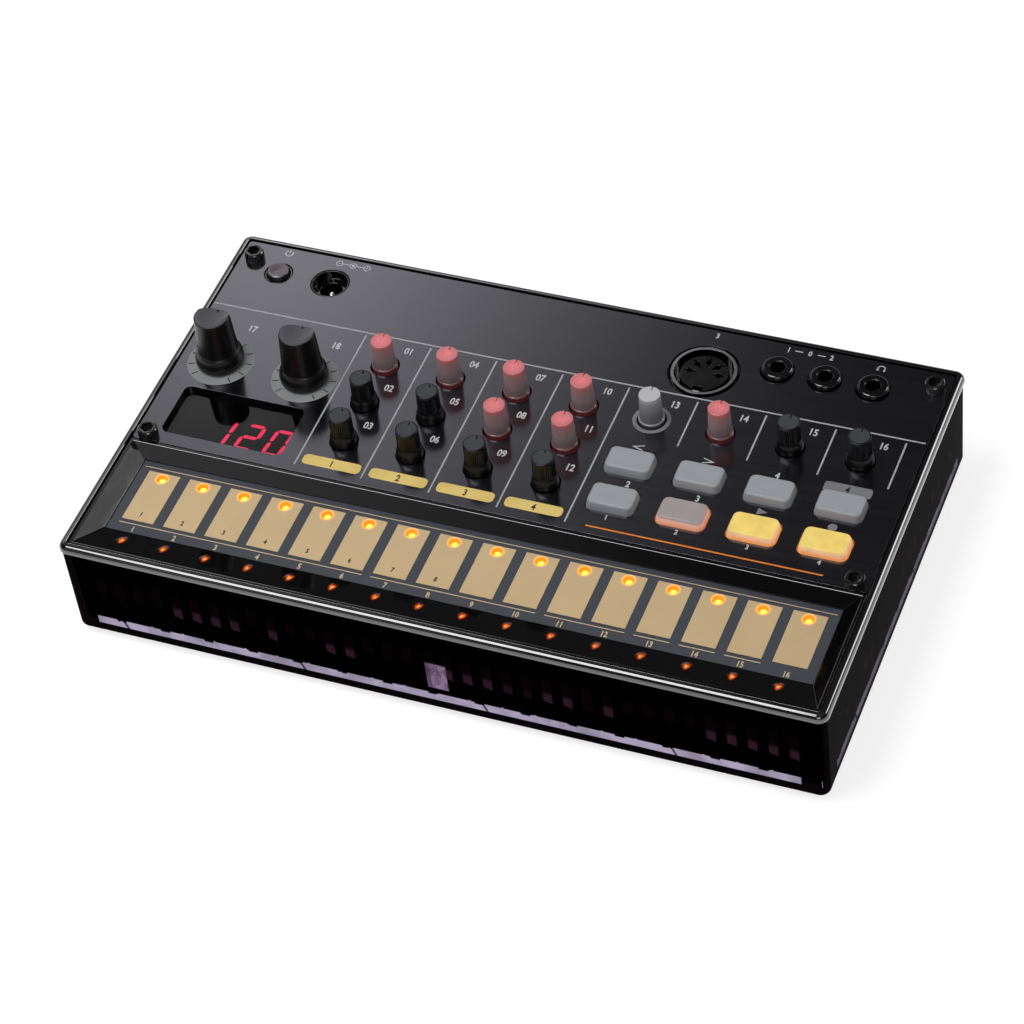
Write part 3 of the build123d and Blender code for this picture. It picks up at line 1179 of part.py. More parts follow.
# A short flat cable between a plug under the touch board and a plug on the main board.
STRIP_PLUG_Y = TOUCH_BACK - PLUG_D / 2 - 0.5
MAIN_PLUG_Y = MAIN_FRONT + PLUG_D / 2
RIBBON_Z = (STRIP_UNDER_Z - PLUG_H / 2 + MAIN_Z + PLUG_H / 2) / 2

with BuildPart() as ribbon_cable:
    with BuildSketch(level(STRIP_UNDER_Z)):
        with Locations((RIBBON_X, STRIP_PLUG_Y)):
            Rectangle(RIBBON_W + 2.0, PLUG_D)
    extrude(amount=-PLUG_H)
    with BuildSketch(level(MAIN_Z)):
        with Locations((RIBBON_X, MAIN_PLUG_Y)):
            Rectangle(RIBBON_W + 2.0, PLUG_D)
    extrude(amount=PLUG_H)
    with BuildSketch(level(RIBBON_Z - RIBBON_T / 2)):
        with Locations((RIBBON_X, (STRIP_PLUG_Y + MAIN_PLUG_Y) / 2)):
            Rectangle(RIBBON_W, MAIN_PLUG_Y - STRIP_PLUG_Y)
    extrude(amount=RIBBON_T)
ribbon_cable.part.label = "ribbon_cable"
export_step(ribbon_cable.part, "parts/ribbon_cable.step")
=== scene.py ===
import logging
import math
from dataclasses import dataclass, field
from enum import Enum
from functools import lru_cache
from typing import Any

import bmesh
import bpy
import numpy as np
from mathutils import Matrix, Vector


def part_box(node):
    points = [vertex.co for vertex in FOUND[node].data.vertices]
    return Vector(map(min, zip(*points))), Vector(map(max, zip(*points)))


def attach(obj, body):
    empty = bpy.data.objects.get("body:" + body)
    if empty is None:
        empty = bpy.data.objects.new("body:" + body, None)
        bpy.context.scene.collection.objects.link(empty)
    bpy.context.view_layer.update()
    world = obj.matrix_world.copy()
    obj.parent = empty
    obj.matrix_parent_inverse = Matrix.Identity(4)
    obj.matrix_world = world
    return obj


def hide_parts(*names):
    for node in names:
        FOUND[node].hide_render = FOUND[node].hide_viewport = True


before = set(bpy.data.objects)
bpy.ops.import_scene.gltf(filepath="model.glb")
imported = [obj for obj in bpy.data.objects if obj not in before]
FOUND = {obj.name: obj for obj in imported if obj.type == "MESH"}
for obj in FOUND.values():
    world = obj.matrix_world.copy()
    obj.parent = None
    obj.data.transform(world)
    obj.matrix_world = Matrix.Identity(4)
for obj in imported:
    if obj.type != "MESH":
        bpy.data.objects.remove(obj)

# Looks of a table-top drum machine.  Sizes are millimetres until a mesh is made, and the
# frame is that of the solids: X to the right, Y to the back, Z up from the table.

log = logging.getLogger("drum_machine")

MM = 0.001
FOOT_Z = 1.6  # underside of the case's walls
RIM_Z = 28.9  # the case is polished above this height
PANEL_Z = 30.4  # upper face of the panel and of the bezel
STRIP_Z = 27.0  # upper face of the touch board
FLANGE_Z = 29.8  # underside of a small knob's flange
GRIP_Z = 39.2  # top of a small knob
KEY_TOP_Z = 32.4
COLUMN_X = np.linspace(-42.65, 80.4, 8)  # columns of small knobs and keys
KNOB_Y = (21.6, 8.2, -5.2)  # rows of small knobs
KEY_Y = (6.0, -6.5)  # rows of keys
LARGE_X = (-83.6, -60.55)  # the two large knobs
LARGE_Y = 12.2
STEP_PITCH = 11.022
STEP_X = (np.arange(16) - 7.5) * STEP_PITCH
STEP_LAMP_Y = -26.75
FILM = 0.02  # thickness of printed ink
NARROW = 0.78  # width of a printed figure against its normal width
SUNK = 0.01  # how far a print reaches into its ground
DOUBLE = 2e-7  # points closer than this, in metres, are merged
FLAT = 0.4  # faces within this angle, in degrees, count as one plane
Colour = tuple[float, float, float, float]


def hex_colour(code: str) -> Colour:
    """Linear colour of a hex code.

    Each channel c becomes ((c + 0.055) / 1.055) ** 2.4, or c / 12.92 when dark.

    Args:
        code: six hex digits, with or without a leading #.

    Returns:
        Red, green, blue and an alpha of one.
    """
    channels = np.array([int(code.lstrip("#")[i : i + 2], 16) / 255 for i in (0, 2, 4)])
    linear = np.where(channels <= 0.04045, channels / 12.92, ((channels + 0.055) / 1.055) ** 2.4)
    return (*(float(v) for v in linear), 1.0)


def shade(colour: Colour, factor: float) -> Colour:
    """A colour made darker or lighter by one factor, its alpha kept."""
    return (colour[0] * factor, colour[1] * factor, colour[2] * factor, 1.0)


# --- Outlines


def rounded_rectangle(width: float, depth: float, radius: float, steps: int = 6) -> np.ndarray:
    """Outline of a rectangle with round corners, anticlockwise.

    Each corner is a quarter circle: its centre stands the radius in from both sides, and the
    point is centre plus radius times (cos a, sin a), with a running over that quarter.

    Args:
        width: size along X.
        depth: size along Y.
        radius: corner radius.
        steps: runs in each quarter circle.

    Returns:
        Points of the outline, one row each.
    """
    angle = np.linspace(0, np.pi / 2, steps + 1)[None, :] + (np.arange(4) * np.pi / 2)[:, None]
    side_x = np.array([1, -1, -1, 1])[:, None]
    side_y = np.array([1, 1, -1, -1])[:, None]
    x = side_x * (width / 2 - radius) + radius * np.cos(angle)
    y = side_y * (depth / 2 - radius) + radius * np.sin(angle)
    return np.stack([x.ravel(), y.ravel()], axis=1)


def disc_outline(radius: float, segments: int = 32) -> np.ndarray:
    """Outline of a disc: radius times (cos a, sin a) for a full turn of a."""
    angle = np.arange(segments) * 2 * np.pi / segments
    return radius * np.stack([np.cos(angle), np.sin(angle)], axis=1)


def eased(line: np.ndarray, radius: float, steps: int = 4) -> np.ndarray:
    """An open line with its inner corners rounded.

    Each corner C becomes (1-t)^2 A + 2t(1-t) C + t^2 B, where A and B lie the radius away
    along the two runs that meet there, or half a run where it is shorter.

    Args:
        line: points of the line, one row each.
        radius: how far from the corner the curve starts and ends.
        steps: runs in each curve.

    Returns:
        Points of the rounded line.
    """
    before, corner, after = line[:-2], line[1:-1], line[2:]
    run_in = np.linalg.norm(corner - before, axis=1, keepdims=True)
    run_out = np.linalg.norm(after - corner, axis=1, keepdims=True)
    start = corner + (before - corner) * np.minimum(radius / run_in, 0.49)
    end = corner + (after - corner) * np.minimum(radius / run_out, 0.49)
    t = np.linspace(0, 1, steps + 1)[None, :, None]
    curve = (1 - t) ** 2 * start[:, None] + 2 * t * (1 - t) * corner[:, None] + t**2 * end[:, None]
    return np.concatenate([line[:1], curve.reshape(-1, line.shape[1]), line[-1:]])


def arc(start: float, end: float, count: int) -> np.ndarray:
    """Points (cos a, sin a) of a unit circle, evenly spaced between two angles in degrees."""
    angle = np.radians(np.linspace(start, end, count))
    return np.stack([np.cos(angle), np.sin(angle)], axis=1)


def raised(outline: np.ndarray, height: float) -> np.ndarray:
    """An outline at a height, as rows of X, Y, Z."""
    return np.column_stack([outline, np.full(len(outline), height)])


def level_ring(radius: float, angle: np.ndarray, height: float | np.ndarray) -> np.ndarray:
    """Ring about the Z axis: radius times (cos a, sin a) at one height, or at a height for each angle."""
    tall = np.broadcast_to(height, angle.shape)
    return np.stack([radius * np.cos(angle), radius * np.sin(angle), tall], axis=-1)


def ribbon_outline(path: np.ndarray, width: float) -> np.ndarray:
    """Outline of a flat stroke along an open path, with mitred corners.

    A point's offset is half the width along the mean of its two runs' normals, divided by
    the cosine between that mean and either normal.

    Args:
        path: points of the stroke's middle line.
        width: full width of the stroke.

    Returns:
        Closed outline, anticlockwise.
    """
    run = np.diff(path, axis=0)
    run = run / np.linalg.norm(run, axis=1, keepdims=True)
    normal = np.stack([-run[:, 1], run[:, 0]], axis=1)
    first = np.concatenate([normal[:1], normal])
    second = np.concatenate([normal, normal[-1:]])
    mean = first + second
    mean = mean / np.linalg.norm(mean, axis=1, keepdims=True)
    offset = mean * (width / 2) / np.sum(mean * first, axis=1, keepdims=True)
    return np.concatenate([path - offset, (path + offset)[::-1]])


@lru_cache(maxsize=None)
def glyphs(text: str) -> tuple[np.ndarray, tuple[tuple[int, ...], ...]]:
    """Mesh of a short text, centred, one unit high and two thick.

    Args:
        text: the characters to draw.

    Returns:
        Points, and the faces as tuples of point numbers.
    """
    curve = bpy.data.curves.new("lettering", "FONT")
    curve.body = text
    curve.extrude = 0.1
    curve.offset = 0.028  # strokes a little bolder than the face's own
    curve.resolution_u = 3
    curve.align_x = "CENTER"
    curve.align_y = "BOTTOM_BASELINE"
    holder = bpy.data.objects.new("lettering", curve)
    bpy.context.scene.collection.objects.link(holder)
    evaluated = holder.evaluated_get(bpy.context.evaluated_depsgraph_get())
    mesh = bpy.data.meshes.new_from_object(evaluated)
    points = np.empty(len(mesh.vertices) * 3, np.float32)
    mesh.vertices.foreach_get("co", points)
    points = points.reshape(-1, 3).astype(float)
    faces = tuple(tuple(face.vertices) for face in mesh.polygons)
    bpy.data.objects.remove(holder)
    bpy.data.curves.remove(curve)
    bpy.data.meshes.remove(mesh)
    height = points[:, 1].max() - points[:, 1].min()
    points[:, 1] -= points[:, 1].min() + height / 2
    return points * np.array([1 / height, 1 / height, 10.0]), faces


# --- Meshes


@dataclass
class Form:
    """Points and faces gathered for one piece, in millimetres, with a finish number for each face."""

    blocks: list[np.ndarray] = field(default_factory=list)
    faces: list[tuple[int, ...]] = field(default_factory=list)
    numbers: list[int] = field(default_factory=list)
    total: int = 0

    def add(self, points: np.ndarray, faces: Any, number: int = 0) -> None:
        """Adds a block of points and its faces.

        Args:
            points: one row of X, Y, Z for each point.
            faces: rows or tuples of point numbers within the block.
            number: which of the piece's finishes the faces take.
        """
        rows = faces.tolist() if isinstance(faces, np.ndarray) else [list(face) for face in faces]
        self.faces.extend(tuple(i + self.total for i in row) for row in rows)
        self.numbers.extend([number] * len(rows))
        self.blocks.append(np.asarray(points, float))
        self.total += len(points)

    def rings(self, rings: np.ndarray, number: int = 0, joined: bool = False) -> None:
        """Adds the skin over a stack of rings with equally many points.

        Ring i and ring i + 1 are joined point by point with four-sided faces. An open stack
        gets a flat cap at each end, or comes to a point where that ring has no size.

        Args:
            rings: array of ring, point, and X, Y, Z.
            number: which of the piece's finishes the faces take.
            joined: whether the last ring meets the first again.
        """
        count, around = rings.shape[:2]
        ring = np.arange(count if joined else count - 1)[:, None]
        point = np.arange(around)[None, :]
        beside = (point + 1) % around
        above = (ring + 1) % count
        lower = [ring * around + point, ring * around + beside]
        upper = [above * around + beside, above * around + point]
        quads = np.stack(lower + upper, axis=-1)
        self.add(rings.reshape(-1, 3), quads.reshape(-1, 4), number)
        if joined:
            return
        base = self.total - count * around
        ends = ((0, np.arange(around)[::-1]), (count - 1, np.arange(around)))
        for index, order in ends:
            if np.ptp(rings[index], axis=0).max() > 1e-6:
                self.faces.append(tuple(int(i) + base + index * around for i in order))
                self.numbers.append(number)

    def turned(
        self,
        profile: np.ndarray,
        centre: tuple[float, float] = (0.0, 0.0),
        segments: int = 48,
        number: int = 0,
        swell: np.ndarray | None = None,
        joined: bool = False,
    ) -> None:
        """Adds a surface of revolution about an upright axis.

        The point at profile row k and angle a is the centre plus the row's radius times
        (cos a, sin a), at the row's height. The swell multiplies the radius at each row and angle.

        Args:
            profile: rows of radius and height, from the bottom outward and up.
            centre: X and Y of the axis.
            segments: points around.
            number: which of the piece's finishes the faces take.
            swell: factors for the radius, one for each row and angle.
            joined: whether the profile closes on itself.
        """
        angle = np.arange(segments) * 2 * np.pi / segments
        radius = np.repeat(profile[:, :1], segments, axis=1)
        radius = radius if swell is None else radius * swell
        height = np.repeat(profile[:, 1:2], segments, axis=1)
        x = centre[0] + radius * np.cos(angle)
        y = centre[1] + radius * np.sin(angle)
        self.rings(np.stack([x, y, height], axis=-1), number, joined)

    def slab(self, outline: np.ndarray, low: float, high: float, number: int = 0) -> None:
        """Adds an upright prism: the outline at two heights, with its sides and both ends."""
        self.rings(np.stack([raised(outline, low), raised(outline, high)]), number)

    def plate(self, x0: float, y0: float, x1: float, y1: float, low: float, high: float) -> None:
        """Adds a rectangular block between two corners and two heights, in the first finish."""
        self.slab(np.array([[x0, y0], [x1, y0], [x1, y1], [x0, y1]]), low, high)

    def lettering(
        self,
        text: str,
        height: float,
        at: tuple[float, float],
        low: float,
        high: float,
        number: int = 0,
    ) -> None:
        """Adds raised narrow figures: the text's points scaled to the height and moved to their middle.

        Args:
            text: the characters.
            height: height of the text.
            at: X and Y of the middle.
            low: height of the underside.
            high: height of the top.
            number: which of the piece's finishes the faces take.
        """
        points, faces = glyphs(text)
        scale = np.array([height * NARROW, height, (high - low) / 2])
        self.add(points * scale + np.array([at[0], at[1], (low + high) / 2]), faces, number)

    def mesh(self) -> bpy.types.Mesh:
        """The mesh of everything added, in metres, with doubled points merged."""
        mesh = bpy.data.meshes.new("form")
        mesh.from_pydata((np.concatenate(self.blocks) * MM).tolist(), [], self.faces)
        mesh.polygons.foreach_set("material_index", np.array(self.numbers, np.int32))
        merge(mesh)
        return mesh


def merge(mesh: bpy.types.Mesh, flat_angle: float = 0.0) -> None:
    """Merges the doubled points of a mesh, and joins the faces of each plane if an angle is given.

    Args:
        mesh: the mesh to clean.
        flat_angle: degrees below which neighbouring faces count as one plane.
    """
    work = bmesh.new()
    work.from_mesh(mesh)
    bmesh.ops.remove_doubles(work, verts=work.verts, dist=DOUBLE)
    if flat_angle > 0:
        limit = math.radians(flat_angle)
        bmesh.ops.dissolve_limit(work, angle_limit=limit, verts=work.verts, edges=work.edges)
    work.to_mesh(mesh)
    work.free()


def points_of(mesh: bpy.types.Mesh) -> np.ndarray:
    """All points of a mesh as one array of X, Y, Z rows."""
    points = np.empty(len(mesh.vertices) * 3, np.float32)
    mesh.vertices.foreach_get("co", points)
    return points.reshape(-1, 3)


def move_points(mesh: bpy.types.Mesh, spot: np.ndarray) -> None:
    """Puts the points of a mesh at new places in millimetres."""
    mesh.vertices.foreach_set("co", (spot * MM).astype(np.float32).ravel())


def shift(mesh: bpy.types.Mesh, x: float, y: float) -> None:
    """Moves a mesh along X and Y by millimetres."""
    move = np.array([x * MM, y * MM, 0.0], np.float32)
    mesh.vertices.foreach_set("co", (points_of(mesh) + move).ravel())


def cut_out(mesh: bpy.types.Mesh, cutter: bpy.types.Mesh) -> bpy.types.Mesh:
    """A mesh with another closed mesh cut out of it.

    Args:
        mesh: what is cut.
        cutter: what is taken away.

    Returns:
        The new mesh.
    """
    body, tool = (bpy.data.objects.new("cutting", part) for part in (mesh, cutter))
    for part in (body, tool):
        bpy.context.scene.collection.objects.link(part)
    modifier = body.modifiers.new("cut", "BOOLEAN")
    modifier.operation = "DIFFERENCE"
    modifier.object = tool
    modifier.solver = "EXACT"
    evaluated = body.evaluated_get(bpy.context.evaluated_depsgraph_get())
    result = bpy.data.meshes.new_from_object(evaluated)
    for part in (body, tool):
        bpy.data.objects.remove(part)
    return result


@dataclass(frozen=True)
class Seat:
    """Where a finished piece belongs: its body, the solids that it stands for and its finish slot."""

    body: str = "case"
    nodes: tuple[str, ...] = ()
    slot: str = ""


@dataclass(frozen=True)
class Edge:
    """How the edges of a piece look: eased by a width, or else shaded by the size of the faces."""

    smooth: float = 32.0  # degrees below which two faces are shaded as one
    width: float = 0.0  # millimetres
    steps: int = 2
    limit: float = 28.0  # degrees above which an edge is eased
    weighted: bool = True  # whether large faces keep flat shading
    finish: int = -1  # number of the eased edges' own finish, or -1 for that of their faces


def settle(
    mesh: bpy.types.Mesh,
    name: str,
    finishes: list["Finish"],
    seat: Seat = Seat(),
    edge: Edge = Edge(),
    axis: tuple[float, float] | None = None,
    parting: float | None = None,
) -> bpy.types.Object:
    """Makes a finished piece of a mesh that already lies in its place.

    With an axis, the mesh keeps an attribute "turning": each point's X and Y from that axis,
    and its height, in metres, for patterns that go round it.

    Args:
        mesh: the mesh in metres.
        name: name of the piece.
        finishes: the finishes, in the order of the faces' numbers.
        seat: body, solids and slot.
        edge: how the edges look.
        axis: X and Y in millimetres of the piece's own axis.
        parting: height in millimetres above which faces take the second finish.

    Returns:
        The piece.
    """
    if len(mesh.materials):
        mesh.materials.clear()
    for finish in finishes:
        mesh.materials.append(material_of(finish))
    if parting is not None:
        centre = np.empty(len(mesh.polygons) * 3, np.float32)
        mesh.polygons.foreach_get("center", centre)
        upper = centre.reshape(-1, 3)[:, 2] > parting * MM
        mesh.polygons.foreach_set("material_index", upper.astype(np.int32))
    mesh.polygons.foreach_set("use_smooth", np.ones(len(mesh.polygons), bool))
    mesh.set_sharp_from_angle(angle=math.radians(edge.smooth))
    if axis is not None:
        offset = points_of(mesh) - np.array([axis[0] * MM, axis[1] * MM, 0.0], np.float32)
        attribute = mesh.attributes.new("turning", "FLOAT_VECTOR", "POINT")
        attribute.data.foreach_set("vector", offset.astype(np.float32).ravel())
    mesh.update()
    mesh.name = name
    piece = bpy.data.objects.new(name, mesh)
    bpy.context.scene.collection.objects.link(piece)
    if edge.width > 0:
        easing = piece.modifiers.new("eased edges", "BEVEL")
        easing.width = edge.width * MM
        easing.segments = edge.steps
        easing.limit_method = "ANGLE"
        easing.angle_limit = math.radians(edge.limit)
        easing.harden_normals = True
        easing.material = edge.finish
    elif edge.weighted:
        shading = piece.modifiers.new("even shading", "WEIGHTED_NORMAL")
        shading.keep_sharp = True
    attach(piece, seat.body)
    if seat.nodes:
        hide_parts(*seat.nodes)
    log.info("%s: %d faces, rides on %s", name, len(mesh.polygons), seat.body)
    return piece


def recast(
    node: str,
    finish: "Finish",
    name: str,
    slot: str,
    edge: Edge = Edge(),
    body: str = "case",
    grain: bool = False,
    opening: np.ndarray | None = None,
) -> bpy.types.Object:
    """A copy of a solid's mesh, merged and smoothed, standing for the solid itself.

    Args:
        node: the solid.
        finish: the finish of the piece.
        name: name of the piece.
        slot: the finish slot that it stands for in the part, kept in its seat but not used.
        edge: how the edges look.
        body: the body that it rides on.
        grain: whether the mesh gets a map whose u runs along Y, for metal brushed along X.
        opening: outline of an opening that is cut right through the panel, if any.

    Returns:
        The piece.
    """
    mesh = FOUND[node].data.copy()
    merge(mesh, FLAT)
    if opening is not None:
        cutter = Form()
        cutter.slab(opening, PANEL_Z - 10.0, PANEL_Z + 10.0)
        mesh = cut_out(mesh, cutter.mesh())
    if grain:
        layer = mesh.uv_layers.new(name="grain")
        corner = np.empty(len(mesh.loops), np.int32)
        mesh.loops.foreach_get("vertex_index", corner)
        spot = points_of(mesh)[corner]
        turned = np.stack([spot[:, 1], -spot[:, 0]], axis=1)
        layer.data.foreach_set("uv", turned.astype(np.float32).ravel())
    return settle(mesh, name, [finish], Seat(body, (node,), slot), edge)


# --- Finishes


class Nodes:
    """A tree of shader nodes in the making: adds nodes, fills their inputs and links them."""

    def __init__(self, tree: bpy.types.NodeTree) -> None:
        """Starts on the tree that takes the nodes."""
        self.tree = tree

    def add(self, kind: str, inputs: dict[Any, Any] | None = None, **settings: Any) -> Any:
        """Adds a node, sets its properties and fills or links its inputs.

        Args:
            kind: the node's type name.
            inputs: values or sockets by input name or number.
            settings: properties of the node.

        Returns:
            The node.
        """
        node = self.tree.nodes.new(kind)
        for key, value in settings.items():
            setattr(node, key, value)
        for key, value in (inputs or {}).items():
            self.fill(node.inputs[key], value)
        return node

    def fill(self, socket: bpy.types.NodeSocket, value: Any) -> None:
        """Links another node's output to a socket, or sets the socket to a plain value."""
        if isinstance(value, bpy.types.NodeSocket):
            self.tree.links.new(value, socket)
        else:
            socket.default_value = value

    def calc(self, operation: str, a: Any, b: Any = 0.0) -> Any:
        """A math node's result."""
        return self.add("ShaderNodeMath", {0: a, 1: b}, operation=operation).outputs[0]

    def times(self, a: Any, b: Any) -> Any:
        """The product of two values."""
        return self.calc("MULTIPLY", a, b)

    def plus(self, a: Any, b: Any) -> Any:
        """The sum of two values."""
        return self.calc("ADD", a, b)

    def minus(self, a: Any, b: Any) -> Any:
        """The first value less the second."""
        return self.calc("SUBTRACT", a, b)

    def ratio(self, a: Any, b: Any) -> Any:
        """The first value divided by the second."""
        return self.calc("DIVIDE", a, b)

    def most(self, a: Any, b: Any) -> Any:
        """The larger of two values."""
        return self.calc("MAXIMUM", a, b)

    def size(self, value: Any) -> Any:
        """A value without its sign."""
        return self.calc("ABSOLUTE", value)

    def folded(self, value: Any, pitch: float) -> Any:
        """How far a length is through its repeat, from 0 to 1, for a pitch in millimetres."""
        return self.calc("FRACT", self.ratio(value, pitch * MM))

    def length(self, a: Any, b: Any) -> Any:
        """Length of the pair: the square root of a^2 + b^2."""
        return self.calc("SQRT", self.plus(self.times(a, a), self.times(b, b)))

    def share(self, value: Any, low: float, high: float) -> Any:
        """How far a length has come from one height to another in millimetres, from 0 to 1."""
        inputs = {"Value": value, "From Min": low * MM, "From Max": high * MM}
        return self.add("ShaderNodeMapRange", inputs).outputs[0]

    def span(self, value: Any, low: float, high: float, to_low: float = 0.0, to_high: float = 1.0) -> Any:
        """A value carried from one range to another with a smooth step, kept inside the second."""
        names = ("Value", "From Min", "From Max", "To Min", "To Max")
        inputs = dict(zip(names, (value, low, high, to_low, to_high)))
        return self.add("ShaderNodeMapRange", inputs, interpolation_type="SMOOTHSTEP").outputs[0]

    def reaches(self, value: Any, low: float, high: float) -> Any:
        """Smooth step from 0 to 1 between two lengths in millimetres."""
        return self.span(value, low * MM, high * MM)

    def fades(self, value: Any, low: float, high: float) -> Any:
        """Smooth step from 1 to 0 between two lengths in millimetres."""
        return self.span(value, low * MM, high * MM, 1.0, 0.0)


class Recipe(Nodes):
    """One material in the making."""

    def __init__(self, name: str) -> None:
        """Starts a material of a name with a plain surface shader and object coordinates."""
        self.material = bpy.data.materials.new(name)
        self.material.use_nodes = True
        super().__init__(self.material.node_tree)
        self.surface = self.tree.nodes["Principled BSDF"]
        self.place = self.add("ShaderNodeTexCoord").outputs["Object"]
        self.relief_below: Any = None

    def set(self, **values: Any) -> None:
        """Fills or links inputs of the surface shader; an underscore stands for a space."""
        for key, value in values.items():
            self.fill(self.surface.inputs[key.replace("_", " ")], value)

    def stretch(self, x: float, y: float, z: float) -> Any:
        """Object coordinates multiplied along each axis."""
        return self.add("ShaderNodeMapping", {"Vector": self.place, "Scale": (x, y, z)}).outputs[0]

    def noise(self, size: float, detail: float = 3.0, vector: Any = None, rough: float = 0.5) -> Any:
        """Soft random pattern whose blotches are about a size in millimetres."""
        place = self.place if vector is None else vector
        inputs = {"Vector": place, "Scale": 1 / (size * MM), "Detail": detail, "Roughness": rough}
        return self.add("ShaderNodeTexNoise", inputs).outputs["Fac"]

    def between(self, factor: Any, first: Any, second: Any) -> Any:
        """A colour between two, by a factor."""
        node = self.add("ShaderNodeMix", {0: factor, 6: first, 7: second}, data_type="RGBA")
        return node.outputs[2]

    def around(self, factor: Any, tone: Colour, low: float, high: float) -> Any:
        """One colour made darker to lighter by a factor, between two shades of it."""
        return self.between(factor, shade(tone, low), shade(tone, high))

    def ramp(self, value: Any, stops: tuple[tuple[float, str], ...]) -> Any:
        """A colour looked up from a value between stops of place and hex code."""
        node = self.add("ShaderNodeValToRGB", {0: value})
        elements = node.color_ramp.elements
        while len(elements) < len(stops):
            elements.new(0.5)
        for element, (position, code) in zip(elements, stops):
            element.position = position
            element.color = hex_colour(code)
        return node.outputs[0]

    def relief(self, height: Any, depth: float, strength: float = 1.0) -> None:
        """Adds a bump of a depth in millimetres over the earlier ones."""
        inputs = {"Height": height, "Distance": depth * MM, "Strength": strength}
        if self.relief_below is not None:
            inputs["Normal"] = self.relief_below
        self.relief_below = self.add("ShaderNodeBump", inputs).outputs[0]
        self.set(Normal=self.relief_below)

    def axis_parts(self) -> tuple[Any, Any]:
        """Distance from the piece's own axis and height, from its "turning" attribute, in metres."""
        node = self.add("ShaderNodeAttribute", attribute_name="turning")
        x, y, z = self.add("ShaderNodeSeparateXYZ", {0: node.outputs["Vector"]}).outputs
        return self.length(x, y), z

    def xyz(self) -> tuple[Any, Any, Any]:
        """The three object coordinates."""
        return tuple(self.add("ShaderNodeSeparateXYZ", {0: self.place}).outputs)

    def lamp_distance(self) -> Any:
        """Distance in metres from the nearest step lamp's axis.

        It is the square root of dx^2 + dy^2, where dx is X folded to one pitch of the row and dy
        is Y from the row.
        """
        x, y, _ = self.xyz()
        dx = self.times(self.minus(self.folded(x, STEP_PITCH), 0.5), STEP_PITCH * MM)
        return self.length(dx, self.minus(y, STEP_LAMP_Y * MM))


@dataclass(frozen=True)
class Finish:
    """What every finish has: its name, its colour and how rough it is."""

    name: str
    colour: str
    roughness: float = 0.4

    def lay(self, recipe: Recipe) -> None:
        """Lays the finish on a material; each kind of finish has its own way."""
        raise NotImplementedError

    @property
    def tone(self) -> Colour:
        """The colour as linear values."""
        return hex_colour(self.colour)


@lru_cache(maxsize=None)
def material_of(finish: Finish) -> bpy.types.Material:
    """The material of a finish, made once.

    Args:
        finish: the finish.

    Returns:
        Its material.
    """
    recipe = Recipe(finish.name)
    finish.lay(recipe)
    return recipe.material


@dataclass(frozen=True)
class Moulded(Finish):
    """Opaque moulded plastic or rubber: cloudy colour, fine grain, and faint wear in its gloss."""

    grain: float = 0.25
    depth: float = 0.006
    coat: float = 0.0
    level: float = 0.5
    sheen: float = 0.0

    def lay(self, recipe: Recipe) -> None:
        """Colour varies by a slow noise, gloss by a streaky one, and a fine noise is the grain."""
        cloud = recipe.noise(14.0, 4.0)
        wear = recipe.noise(2.2, 5.0, recipe.stretch(1.0, 0.35, 1.0), 0.6)
        polished = max(self.roughness - 0.05, 0.02)
        recipe.set(
            Base_Color=recipe.around(cloud, self.tone, 0.86, 1.14),
            Roughness=recipe.span(wear, 0.3, 0.75, polished, self.roughness + 0.07),
            Coat_Weight=self.coat,
            Coat_Roughness=0.06,
            Specular_IOR_Level=self.level,
            Sheen_Weight=self.sheen,
        )
        recipe.relief(recipe.noise(self.grain, 2.0), self.depth, 0.6)


@dataclass(frozen=True)
class RidgedKnob(Finish):
    """Black knob plastic: satin sides, and a face with fine turned rings inside a dark edge; the face's
    grey is painted light, the top lighter where it faces the lamps.
    """

    top_z: float = 39.0  # height where the face starts
    top_radius: float = 2.5  # radius where it ends
    ring: float = 0.22  # width of one turned ring
    cut: float = 0.02  # depth of the rings
    # the face's two greys are painted light: the black top laid lighter where it faces the lamps
    face: tuple[str, str] = ("#303336", "#42464a")

    def lay(self, recipe: Recipe) -> None:
        """Lays a face where the height passes top_z inside top_radius; a sine of the radius rings it."""
        radius, height = recipe.axis_parts()
        high = recipe.reaches(height, self.top_z - 0.12, self.top_z)
        top = recipe.times(high, recipe.fades(radius, self.top_radius - 0.16, self.top_radius))
        wave = recipe.calc("SINE", recipe.times(radius, 2 * math.pi / (self.ring * MM)))
        cloud = recipe.noise(1.6, 4.0)
        # painted light: the face is laid in lighter greys than the sides
        face = recipe.between(cloud, hex_colour(self.face[0]), hex_colour(self.face[1]))
        side = recipe.around(cloud, self.tone, 0.7, 1.3)
        recipe.set(
            Base_Color=recipe.between(top, side, face),
            Roughness=recipe.span(top, 0.0, 1.0, self.roughness, 0.42),
            Specular_IOR_Level=0.42,
        )
        recipe.relief(recipe.times(recipe.times(wave, top), 0.5), self.cut, 0.5)
        recipe.relief(recipe.noise(0.2, 2.0), 0.003, 0.4)


@dataclass(frozen=True)
class Metal(Finish):
    """Bare or plated metal, with turned or drawn lines and uneven polish."""

    lines: float = 0.3
    depth: float = 0.004

    def lay(self, recipe: Recipe) -> None:
        """A noise stretched along one way makes the tool lines; a wide one makes the polish uneven."""
        cloud = recipe.noise(9.0, 4.0)
        streak = recipe.noise(self.lines, 3.0, recipe.stretch(0.06, 1.0, 0.4))
        recipe.set(
            Base_Color=recipe.around(cloud, self.tone, 0.85, 1.1),
            Metallic=1.0,
            Roughness=recipe.span(streak, 0.25, 0.75, self.roughness * 0.75, self.roughness * 1.3),
        )
        recipe.relief(streak, self.depth, 0.5)


